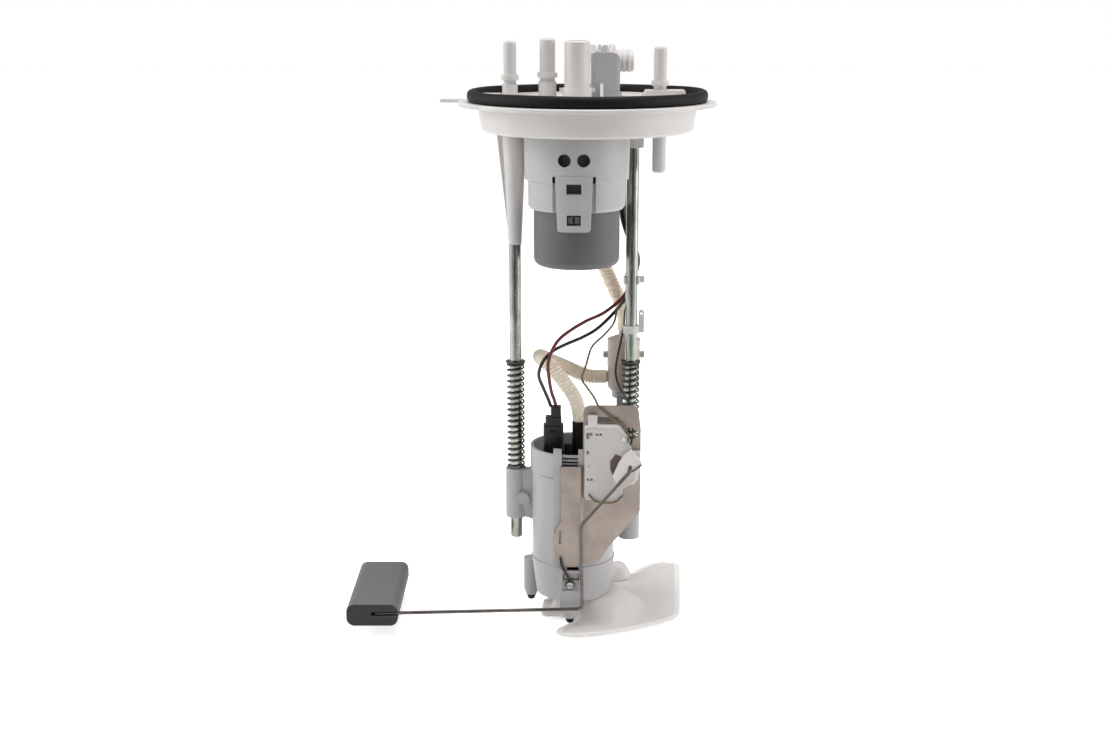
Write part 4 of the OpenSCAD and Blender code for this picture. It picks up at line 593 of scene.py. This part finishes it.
red_skin = wire_insulation("red_insulation", "#702428", "#571c1f")
black_skin = wire_insulation("black_insulation", "#22201f", "#151413")
olive_skin = wire_insulation("olive_insulation", "#6f6748", "#5a5339")
harness_route = [(16, 18.9, -7), (17.5, 24, -7.6), (20, 29, -14), (22.5, 29.5, -28), (23.5, 28, -46),
                 (23.6, 24, -62), (24.4, 20.5, -74), (28.6, 17.6, -87), (32.7, 16.8, -98), (32, 16.4, -106),
                 (29.2, 16.2, -113.5)]
lead_routes = {
    "pump_lead_red": [(28.2, 15.2, -114), (24.3, 15, -123.6), (12, 10, -133), (0, 4, -137.5), (-11, -2, -143),
                      (-18, -7, -148), (-22.5, -11.2, -155), (-24.5, -11, -163), (-23.8, -10, -172),
                      (-22.4, -7.6, -181), (-20.4, -6, -187.5), (-19.4, -5.6, -191.4)],
    "pump_lead_black": [(28.3, 17.35, -114), (25, 17.8, -125.5), (19.5, 15.5, -133), (8, 9, -143),
                        (-2, 4, -148), (-12.6, -2.4, -151.2), (-20.6, -7.2, -154.3),
                        (-26.4, -10.8, -159), (-29.6, -12, -165), (-30.2, -11.5, -171),
                        (-27, -10, -179.5), (-24, -7.5, -187.4), (-22.9, -5.6, -191.4)],
    "sender_lead_olive": [(30.4, 15.1, -114), (29.2, 13.4, -118.6), (26.6, 12.4, -124.6), (20.5, 11.2, -131),
                          (18, 6, -139), (12.2, 0, -145), (4.3, -6, -151.3), (1.7, -11, -156),
                          (-0.3, -15, -162.3), (-2.9, -19, -170), (0.6, -24, -175), (4.4, -28.5, -179.5),
                          (7.8, -32.2, -185.2), (12.3, -32.4, -189.4), (17.5, -32.8, -193.6),
                          (22.8, -33.4, -197.6), (25.8, -34.2, -201.8), (26.2, -34.4, -207.4)],
    "sender_lead_black": [(30.1, 17, -114), (28, 14.8, -125), (25.4, 13.4, -133), (24.8, 12.4, -142),
                          (22.5, 9, -153), (19.4, 0, -165.6), (19.2, -8, -171.6), (21.4, -18, -177),
                          (25, -25, -181.5), (27.8, -27.2, -187), (28.8, -27.4, -195), (29, -28.4, -200.2),
                          (28.9, -31.2, -203.6), (28.4, -33.7, -206.4), (27.4, -34.1, -209.4)],
}
lead_looks = {
    "pump_lead_red": (1.1, red_skin, "red_insulation"),
    "pump_lead_black": (1.1, black_skin, "black_insulation"),
    "sender_lead_olive": (0.7, olive_skin, "olive_insulation"),
    "sender_lead_black": (0.7, black_skin, "black_insulation"),
}
sleeve = wire_along("harness_sleeve", smooth_run(harness_route, 12), 2.2 * mm, black_skin)
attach(sleeve, "flange_unit")
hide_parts("harness")
for node, route in lead_routes.items():
    radius, skin, slot = lead_looks[node]
    run = smooth_run(route)
    lead = wire_along(node + "_run", run, radius * mm, skin)
    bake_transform(lead)
    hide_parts(node)


# Corrugated hoses
# Blow-moulded nylon tube with round corrugations 2 mm apart and a smooth cuff at each end,
# pushed over its spigots. Thin nylon lets light through, so it looks warm.
hose_nylon = moulded_plastic("blow_moulded_nylon", "#fff0e0", "#fbe5d0", 0.4, scatter=0.8, scatter_mm=4.0)
hose_radius = 4.9 * mm
fold_depth = 0.8 * mm
fold_pitch = 2 * mm
rings_per_fold = 7
cuff = 3 * mm
cuff_step = 0.4 * mm
fold_start = 2 * mm


def corrugated(name, points):
    """A tube whose radius rises and falls along its length, but not on its cuffs."""
    route = smooth_run(points, 160)
    run, along = [route[0]], [0.0]
    walked = 0.0
    for before, after in zip(route, route[1:]):
        walked += (after - before).length
        if walked - along[-1] >= fold_pitch / rings_per_fold:
            run.append(after)
            along.append(walked)
    run[-1], along[-1] = route[-1], walked
    radii = []
    for reach in along:
        inside = min(reach, along[-1] - reach) - cuff
        ease = min(max(inside / fold_start, 0), 1)
        wave = 0.5 + 0.5 * math.cos(2 * math.pi * reach / fold_pitch)
        radii.append(hose_radius - cuff_step * (1 - ease) - fold_depth * ease * (1 - wave ** 0.7))
    return new_piece(name, swept(name, run, radii, 24), hose_nylon)


feed_route = [(6, 36, -22), (6, 36, -40), (7, 35, -62), (9, 32, -84), (12, 27, -104), (17, 24, -116),
              (22.5, 25, -128), (25.4, 26.4, -138), (25.4, 26.4, -148)]
outlet_route = [(-4, -3, -202), (-4.4, -3, -196), (-7, -3, -187), (-13, -2.5, -178), (-20, -0.5, -169.5),
                (-26, 4, -164), (-29.5, 10, -162.5), (-28, 16, -164), (-21, 21, -168.5), (-12, 24.5, -173),
                (-3, 26, -177.5), (4, 26.4, -179.5), (14.2, 26.4, -179.5)]
feed = corrugated("feed_hose_run", feed_route)
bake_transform(feed)
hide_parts("feed_hose")
outlet = corrugated("outlet_hose_run", outlet_route)
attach(outlet, "pump_unit")
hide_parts("outlet_hose")


# Pump housing
# Three mouldings of natural acetal, greyer and cooler than the flange cap: the housing with its
# sleeves and rails, the ring on top and the cup below. Rubber tips are pressed into the cup's
# feet.
natural_acetal = moulded_plastic("natural_acetal", "#b9b7b8", "#abaaab", 0.4, scatter=0.15)
moulding("pump_housing", natural_acetal, 0.4 * mm)
moulding("housing_ring", natural_acetal, 0.3 * mm)
moulding("lower_cup", natural_acetal, 0.5 * mm, 3)
moulding("rubber_feet", black_rubber, 0.3 * mm)


# Electric pump
# A drawn steel case with a black end cover above, a grey inlet body below and the motor inside.
# Drawing leaves faint lines along the case. Magnets and brushes are a dull dark grey, and the
# windings are copper under brown varnish.
drawn_steel = worked_metal("drawn_steel_case", "#b4b9b9", "#8d9292", 0.3, streak=(1, 1, 0.1))
ferrite = moulded_plastic("sintered_ferrite", "#45454a", "#37373b", 0.6)
wound_copper = worked_metal("varnished_copper", "#a4683f", "#7c4b2c", 0.4)
for node, material in (("pump_case", drawn_steel), ("pump_cover", black_plastic), ("pump_magnets", ferrite),
                       ("carbon_brushes", ferrite), ("armature", wound_copper), ("impeller", black_plastic),
                       ("inlet_body", grey_nylon), ("rubber_isolator", black_rubber)):
    moulding(node, material, 0.15 * mm)


# Pump plug and outlet tube
# The plug is moulded black nylon with a latch in front, pushed onto the pump's end cover. The
# outlet tube beside it is dark rubber, pushed over the pump's outlet.
moulding("pump_plug", black_plastic, 0.35 * mm)
moulding("outlet_tube", black_rubber, 0.3 * mm)


# Pressure regulator
# Two halves of acetal with ears, over a brass valve seat and a spring. Fuel has stained them, so
# they are warmer than the other mouldings.
warm_acetal = moulded_plastic("fuel_stained_acetal", "#c3b8ae", "#b3a89e", 0.42, scatter=0.1)
moulding("regulator_can", warm_acetal, 0.4 * mm)
moulding("regulator_socket", warm_acetal, 0.4 * mm)
moulding("regulator_seat", stamped_brass, 0.1 * mm)
moulding("regulator_spring", dark_spring_steel, 0)


# Sender bracket
# Stamped steel sheet, zinc plated and passivated, so it is a dull warm grey with fine speckle. A
# short earth lead runs from it to a bright screw in the cup's front foot, with a ring terminal
# under the screw's head.
plated_sheet = worked_metal("zinc_plated_sheet", "#a89d94", "#8d837b", 0.5, streak_mm=0.5, bump=0.1)
moulding("sender_bracket", plated_sheet, 0.2 * mm)
moulding("bracket_screw", bright_steel, 0.1 * mm)
ground_route = [(-16.4, -33.9, -285), (-15.8, -34.9, -288.6), (-14.4, -36.1, -292), (-12, -36.1, -296.6),
                (-11, -34.6, -299.2)]
ground = wire_along("ground_lead_run", smooth_run(ground_route), 0.9 * mm, black_skin)
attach(ground, "pump_unit")
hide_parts("ground_lead")
terminal_outer = 3.4 * mm
terminal_inner = 1.65 * mm
terminal_thick = 0.75 * mm
terminal_back = 1.65 * mm
broken_edge = 0.1 * mm


def ring_terminal(centre, steps=40):
    """A punched ring lying across Y, with its outer edges broken."""
    shape = bmesh.new()
    section = [(terminal_inner, 0), (terminal_outer - broken_edge, 0), (terminal_outer, broken_edge),
               (terminal_outer, terminal_thick - broken_edge),
               (terminal_outer - broken_edge, terminal_thick), (terminal_inner, terminal_thick)]
    rings = [[shape.verts.new(centre + Vector((r * math.cos(a), y, r * math.sin(a)))) for r, y in section]
             for a in (2 * math.pi * k / steps for k in range(steps))]
    for k in range(steps):
        here, after = rings[k], rings[(k + 1) % steps]
        for i in range(len(section)):
            n = (i + 1) % len(section)
            shape.faces.new((here[i], here[n], after[n], after[i]))
    bmesh.ops.recalc_face_normals(shape, faces=shape.faces)
    mesh = bpy.data.meshes.new("ring_terminal")
    shape.to_mesh(mesh)
    shape.free()
    return mesh


screw_low, screw_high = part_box("bracket_screw")
ring_centre = (screw_low + screw_high) / 2
ring_centre.y = screw_low.y + terminal_back
terminal = new_piece("ring_terminal", ring_terminal(ring_centre), dark_spring_steel)
terminal.data.set_sharp_from_angle(angle=sharp_edge)
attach(terminal, "pump_unit")


# Level sender
# A white acetal base clipped to the bracket carries a ceramic card, and the arm's hub turns in
# front of it with a bronze wiper. Dull solder pads show in the card's small windows.
# The card is smoother and a little greyer than its base, and its track is a smooth brown film.
sender_acetal = moulded_plastic("sender_acetal", "#e6e3e0", "#d8d5d2", 0.45, scatter=0.1)
fired_ceramic = moulded_plastic("fired_alumina", "#d0cdca", "#c4c1be", 0.35)
printed_track = moulded_plastic("fired_thick_film", "#5f4c3d", "#4d3d31", 0.3)
moulding("sender_base", sender_acetal, 0.25 * mm)
moulding("resistor_card", fired_ceramic, 0.05 * mm)
moulding("resistor_track", printed_track, 0)
dull_solder = moulded_plastic("dull_solder", "#8f8a84", "#807b76", 0.5)
pad_y = -33.28
pad_thick = 0.1
# Left edge, lower edge, width and height of each pad, in millimetres
pad_places = [(-0.3, -205.5, 1.7, 4), (1.5, -203.3, 2.1, 1.8), (-0.1, -215.4, 1.6, 2),
              (1.05, -223.95, 0.8, 0.8), (0.1, -232.9, 1.4, 1.2), (2.5, -232.9, 1.4, 1.2)]
contact_places = [(5.7, -203.2, 1.4, 1), (8.1, -203.2, 1.4, 1)]
for name, material, places in (("card_pads", dull_solder, pad_places),
                               ("card_contacts", black_plastic, contact_places)):
    shape = bmesh.new()
    for x, z, wide, high in places:
        middle = Vector((x + wide / 2, pad_y, z + high / 2)) * mm
        place = Matrix.LocRotScale(middle, None, Vector((wide, pad_thick, high)) * mm)
        bmesh.ops.create_cube(shape, size=1, matrix=place)
    pad_mesh = bpy.data.meshes.new(name)
    shape.to_mesh(pad_mesh)
    shape.free()
    pads = new_piece(name, pad_mesh, material)
    pad_mesh.set_sharp_from_angle(angle=sharp_edge)
    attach(pads, "pump_unit")
card_route = [(1.5, -34.8, -241.8), (4.7, -34.9, -245.4), (8.4, -35, -246.9), (14.2, -35, -247.4),
              (19.5, -34.9, -246.2), (23, -34.9, -242.6)]
card_wire = wire_along("card_lead_run", smooth_run(card_route), 0.6 * mm, olive_skin)
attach(card_wire, "pump_unit")
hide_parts("card_lead")
moulding("arm_hub", sender_acetal, 0.3 * mm)
# Spring bronze goes brown and dull in fuel
tarnished_bronze = worked_metal("tarnished_bronze", "#6f5b42", "#4f412f", 0.45)
moulding("wiper", tarnished_bronze, 0.05 * mm)


# Float arm wire
# Hard-drawn steel wire, 2.2 mm thick, bent to shape with 4 mm bends and a hook into the hub. A
# thin wire clip lies across the hub. Both are a brownish grey with a gleam.
arm_radius = 1.1 * mm
clip_radius = 0.5 * mm
arm_y = -39.2
arm_corners = [(27.3, arm_y + 2.6, -222.5), (27.3, arm_y, -222.5), (26.8, arm_y, -226), (-3.5, arm_y, -261),
               (-2.6, arm_y, -317.6), (-137.6, arm_y, -320.8), (-137.6, arm_y + 24, -320.8)]
bend = 4.0


def bent_wire(corners, steps=8):
    """Points along straight runs with a round bend at each corner."""
    points = [Vector(corners[0])]
    for before, corner, after in zip(corners, corners[1:], corners[2:]):
        b, c, a = Vector(before), Vector(corner), Vector(after)
        reach = min(bend, (b - c).length * 0.45, (a - c).length * 0.45)
        start = c + (b - c).normalized() * reach
        stop = c + (a - c).normalized() * reach
        for k in range(steps + 1):
            t = k / steps
            points.append(start * (1 - t) ** 2 + 2 * c * t * (1 - t) + stop * t * t)
    points.append(Vector(corners[-1]))
    return [p * mm for p in points]


drawn_wire = worked_metal("hard_drawn_wire", "#6f6862", "#4b4641", 0.32, streak_mm=0.8)
arm = wire_along("float_arm_wire", bent_wire(arm_corners), arm_radius, drawn_wire, 16)
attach(arm, "float_arm")
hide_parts("float_wire")
clip_corners = [(28.7, arm_y - 0.52, -225.4), (31.6, arm_y - 0.56, -223.1), (34.6, arm_y - 0.52, -220.8)]
clip = wire_along("arm_clip_run", bent_wire(clip_corners), clip_radius, drawn_wire)
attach(clip, "float_arm")
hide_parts("arm_clip")


# Float
# Closed-cell nitrile foam, cut and skinned, with soft edges. The wire lies in a groove in its
# front face and enters it lengthwise.
def nitrile_foam():
    """Foam skin: dull, with shallow cells about 0.7 mm wide. Painted top light: a paler colour is mixed in by
    a face attribute, which is 1 on the faces that look upwards."""
    made = empty_material("nitrile_foam")
    tree = made.node_tree
    where = add(tree, "ShaderNodeTexCoord")
    cells = add(tree, "ShaderNodeTexVoronoi", {"Vector": where.outputs["Object"], "Scale": 1 / (0.7 * mm)})
    cloud = add(tree, "ShaderNodeTexNoise",
                {"Vector": where.outputs["Object"], "Scale": 1 / (8 * mm), "Detail": 3.0})
    tint = add(tree, "ShaderNodeMix",
               {"Factor": cloud.outputs["Fac"], "A": colour("#1a191a"), "B": colour("#262526")},
               data_type="RGBA")
    # Painted top light: the paler colour that the upward faces get
    dust_and_top_light = add(tree, "ShaderNodeAttribute", attribute_name="dust_and_top_light")
    tint = add(tree, "ShaderNodeMix", {"Factor": dust_and_top_light.outputs["Fac"], "A": tint.outputs["Result"],
                                       "B": colour("#5b5856")}, data_type="RGBA")
    relief = add(tree, "ShaderNodeBump",
                 {"Height": cells.outputs["Distance"], "Strength": 0.35, "Distance": 0.15 * mm})
    skin = add(tree, "ShaderNodeBsdfPrincipled",
               {"Base Color": tint.outputs["Result"], "Roughness": 0.72, "Sheen Weight": 0.25,
                "Sheen Roughness": 0.5, "Normal": relief.outputs["Normal"]})
    add(tree, "ShaderNodeOutputMaterial", {"Surface": skin.outputs[0]})
    return made


block = moulding("float_block", nitrile_foam(), 1.6 * mm, 4)
# Painted top light: faces that look upwards get a share of the paler colour
painted_top_light = block.data.attributes.new("dust_and_top_light", "FLOAT", "FACE")
for face, share in zip(block.data.polygons, painted_top_light.data):
    share.value = min(max(2 * face.normal.z - 0.6, 0), 1)


# Strainer
# A pouch of woven nylon mesh, welded flat round its edge, with a moulded neck and stud. An inner
# frame holds the two cloths a little apart, and they sag between its bars.
def woven_mesh():
    """Nylon filter mesh: threads drawn 1.4 mm apart, coarser than the real 0.07 mm, so that the
    weave still shows. The attribute weld is 1 where the two cloths are fused into a smooth hem."""
    made = empty_material("woven_nylon_mesh")
    tree = made.node_tree
    where = add(tree, "ShaderNodeTexCoord")
    turned = add(tree, "ShaderNodeMapping",
                 {"Vector": where.outputs["Object"], "Rotation": (0, 0, math.radians(28))})
    # At a scale of 1 a wave comes round every 0.314 m
    threads = 1 / (0.7 * mm) / 6.28
    weft = add(tree, "ShaderNodeTexWave", {"Vector": turned.outputs["Vector"], "Scale": threads},
               bands_direction="X", wave_profile="SIN")
    warp = add(tree, "ShaderNodeTexWave", {"Vector": turned.outputs["Vector"], "Scale": threads},
               bands_direction="Y", wave_profile="SIN")
    weave = add(tree, "ShaderNodeMath", {0: weft.outputs["Fac"], 1: warp.outputs["Fac"]},
                operation="MULTIPLY")
    stain = add(tree, "ShaderNodeTexNoise",
                {"Vector": where.outputs["Object"], "Scale": 1 / (16 * mm), "Detail": 3.0})
    tint = add(tree, "ShaderNodeMix",
               {"Factor": weave.outputs[0], "A": colour("#d0c9c3"), "B": colour("#e2dcd7")},
               data_type="RGBA")
    tint = add(tree, "ShaderNodeMix", {"Factor": stain.outputs["Fac"], "A": tint.outputs["Result"],
                                       "B": colour("#dad4cf")}, data_type="RGBA")
    weld = add(tree, "ShaderNodeAttribute", attribute_name="weld")
    tint = add(tree, "ShaderNodeMix", {"Factor": weld.outputs["Fac"], "A": tint.outputs["Result"],
                                       "B": colour("#efebe7")}, data_type="RGBA")
    open_cloth = add(tree, "ShaderNodeMapRange",
                     {"Value": weld.outputs["Fac"], "To Min": 0.14, "To Max": 0.03})
    relief = add(tree, "ShaderNodeBump",
                 {"Height": weave.outputs[0], "Strength": open_cloth.outputs["Result"],
                  "Distance": 0.12 * mm})
    gloss = add(tree, "ShaderNodeMapRange", {"Value": weld.outputs["Fac"], "To Min": 0.62, "To Max": 0.4})
    skin = add(tree, "ShaderNodeBsdfPrincipled",
               {"Base Color": tint.outputs["Result"], "Roughness": gloss.outputs["Result"],
                "Sheen Weight": 0.3, "Normal": relief.outputs["Normal"]})
    add(tree, "ShaderNodeOutputMaterial", {"Surface": skin.outputs[0]})
    return made


pouch_low, pouch_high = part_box("strainer_pouch")
# Half heights are measured from the hem's plane. The upper cloth rises to a mound round mound_at:
# its flat top has the radius mound_top, and its foot lies at mound_foot, or farther out by
# mound_run on the right.
lower_depth = 2.5 * mm
pouch_middle = pouch_low.z + lower_depth
hem = 4.2 * mm
weld_half = 0.6 * mm
cloth_bulge = 1.8 * mm
upper_limit = 2.45 * mm
lower_limit = 2.49 * mm
mound_at = Vector((2, 1, 0)) * mm
mound_top = 17.5 * mm
mound_foot = 26.5 * mm
mound_run = 13 * mm
neck_hole = (Vector((-2, 8, 0)) * mm, 10.3 * mm)
neck_floor = 2.35 * mm
foot_tips = [(-10.3, -28.4), (9, 32)]
foot_clear = 4.5 * mm


def pouch_outline(spacing):
    """The pouch's outline, read from the CAD piece at its middle plane and smoothed."""
    shape = bmesh.new()
    shape.from_mesh(frame["nodes"]["strainer_pouch"].data)
    bmesh.ops.remove_doubles(shape, verts=shape.verts, dist=0.01 * mm)
    cut = bmesh.ops.bisect_plane(shape, geom=shape.verts[:] + shape.edges[:] + shape.faces[:],
                                 dist=0.001 * mm, plane_co=(0, 0, pouch_middle),
                                 plane_no=(0, 0, 1))["geom_cut"]
    beside = {}
    for edge in (e for e in cut if isinstance(e, bmesh.types.BMEdge)):
        a, b = (tuple(round(c / mm, 4) for c in v.co.xy) for v in edge.verts)
        beside.setdefault(a, []).append(b)
        beside.setdefault(b, []).append(a)
    shape.free()
    loop = [min(beside)]
    last = None
    while True:
        ahead = [p for p in beside[loop[-1]] if p != last]
        last = loop[-1]
        if ahead[0] == loop[0]:
            break
        loop.append(ahead[0])
    loop = [Vector(p) * mm for p in loop]
    points = []
    for a, b in zip(loop, loop[1:] + loop[:1]):
        steps = max(1, round((b - a).length / spacing))
        points += [a.lerp(b, k / steps) for k in range(steps)]
    for _ in range(6):
        points = [(points[k - 1] + points[k] * 2 + points[(k + 1) % len(points)]) / 4
                  for k in range(len(points))]
    return points


def filled_pouch(spacing=1.1 * mm):
    """Two cloths welded at the hem: they bulge apart behind it, pucker a little beside the
    weld, and the upper one rises to the pump's inlet."""
    rim = pouch_outline(spacing)
    along = np.array([(p.x, p.y) for p in rim])
    centre, hole = neck_hole
    ring = [centre.xy + hole * Vector((math.cos(a), math.sin(a)))
            for a in (2 * math.pi * k / 48 for k in range(48))]
    inner = []
    rows = int((pouch_high.y - pouch_low.y) / (spacing * 0.87)) + 1
    for row in range(rows):
        y = pouch_low.y + row * spacing * 0.87
        x = pouch_low.x + (row % 2) * spacing / 2
        while x < pouch_high.x:
            near = ((along - (x, y)) ** 2).sum(axis=1).min() ** 0.5
            if near > spacing * 0.6 and (Vector((x, y)) - centre.xy).length > hole + spacing * 0.6:
                inner.append(Vector((x, y)))
            x += spacing
    n, m = len(rim), len(ring)
    borders = [(k, (k + 1) % n) for k in range(n)] + [(n + k, n + (k + 1) % m) for k in range(m)]
    made = geometry.delaunay_2d_cdt(rim + ring + inner, borders, [list(range(n))], 1, 1e-7)
    points, faces = made[0], made[2]
    place = np.array([(p.x, p.y) for p in points])
    gaps = np.array([((along - p) ** 2).sum(axis=1).min() ** 0.5 for p in place])
    nearest = np.array([((along - p) ** 2).sum(axis=1).argmin() for p in place])
    from_mound = np.hypot(place[:, 0] - mound_at.x, place[:, 1] - mound_at.y)
    from_hole = np.hypot(place[:, 0] - centre.x, place[:, 1] - centre.y)
    behind = np.clip(gaps - hem, 0, None)
    weld = weld_half * np.clip(gaps / (0.5 * mm), 0, 1) ** 0.5
    bulge = cloth_bulge * (1 - np.exp(-behind / (5 * mm)))
    beside_weld = np.exp(-((gaps - hem - 1.5 * mm) / (2.2 * mm)) ** 2)
    pucker = 0.16 * mm * np.sin(nearest * 2 * math.pi / 7.3) * beside_weld
    slack = 0.12 * mm * np.sin(place[:, 0] / (7.7 * mm) + 1.3 * np.sin(place[:, 1] / (11 * mm)))
    half = weld + bulge + (pucker + slack * np.clip(behind / (6 * mm), 0, 1))
    # The upper cloth is steep on the left and runs out gently to the right
    spread = mound_foot + mound_run * np.clip(place[:, 0] / (18 * mm), 0, 1)
    rise = np.clip((spread - from_mound) / (spread - mound_top), 0, 1)
    rise = rise * rise * (3 - 2 * rise)
    for x, y in foot_tips:
        from_tip = np.hypot(place[:, 0] - x * mm, place[:, 1] - y * mm)
        rise = rise * np.clip((from_tip - foot_clear) / (7 * mm), 0, 1) ** 0.6
    rise = rise * np.clip(behind / (5 * mm), 0, 1)
    crown = (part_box("strainer_pouch")[1].z - pouch_middle - lower_depth) * rise
    upper = pouch_middle + np.minimum(half, upper_limit) * (1 - rise) + upper_limit * rise + crown
    lower = pouch_middle - np.minimum(half, lower_limit)
    shape = bmesh.new()
    on_rim = gaps < 1e-6
    top = [shape.verts.new((p[0], p[1], pouch_middle if edge else z))
           for p, edge, z in zip(place, on_rim, upper)]
    bottom = [top[k] if on_rim[k] else shape.verts.new((place[k][0], place[k][1], lower[k]))
              for k in range(len(points))]
    for face in faces:
        shape.faces.new([bottom[k] for k in reversed(face)])
        if max(from_hole[k] for k in face) > hole * 1.001:
            shape.faces.new([top[k] for k in face])
    edge_ring = [k for k in range(len(points)) if abs(from_hole[k] - hole) < 1e-6]
    edge_ring.sort(key=lambda k: math.atan2(place[k][1] - centre.y, place[k][0] - centre.x))
    floor_ring = [shape.verts.new((place[k][0], place[k][1], pouch_middle + neck_floor)) for k in edge_ring]
    for a in range(len(edge_ring)):
        b = (a + 1) % len(edge_ring)
        shape.faces.new((top[edge_ring[a]], top[edge_ring[b]], floor_ring[b], floor_ring[a]))
    shape.faces.new(floor_ring)
    loose = [v for v in shape.verts if not v.link_faces]
    bmesh.ops.delete(shape, geom=loose, context="VERTS")
    bmesh.ops.recalc_face_normals(shape, faces=shape.faces)
    mesh = bpy.data.meshes.new("filled_pouch")
    shape.to_mesh(mesh)
    shape.free()
    fused = mesh.attributes.new("weld", "FLOAT", "POINT")
    for vertex, share in zip(mesh.vertices, fused.data):
        from_rim = ((along - (vertex.co.x, vertex.co.y)) ** 2).sum(axis=1).min() ** 0.5
        share.value = min(max((hem - from_rim) / (0.8 * mm), 0), 1)
    return mesh


pouch = new_piece("filled_pouch", filled_pouch(), woven_mesh())
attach(pouch, "pump_unit")
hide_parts("strainer_pouch")
moulding("strainer_frame", white_acetal, 0.3 * mm)


# Size of the finished part
# The box round the dressed part is found, as the CAD's box was found before dressing.
bpy.context.view_layer.update()
low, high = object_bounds()
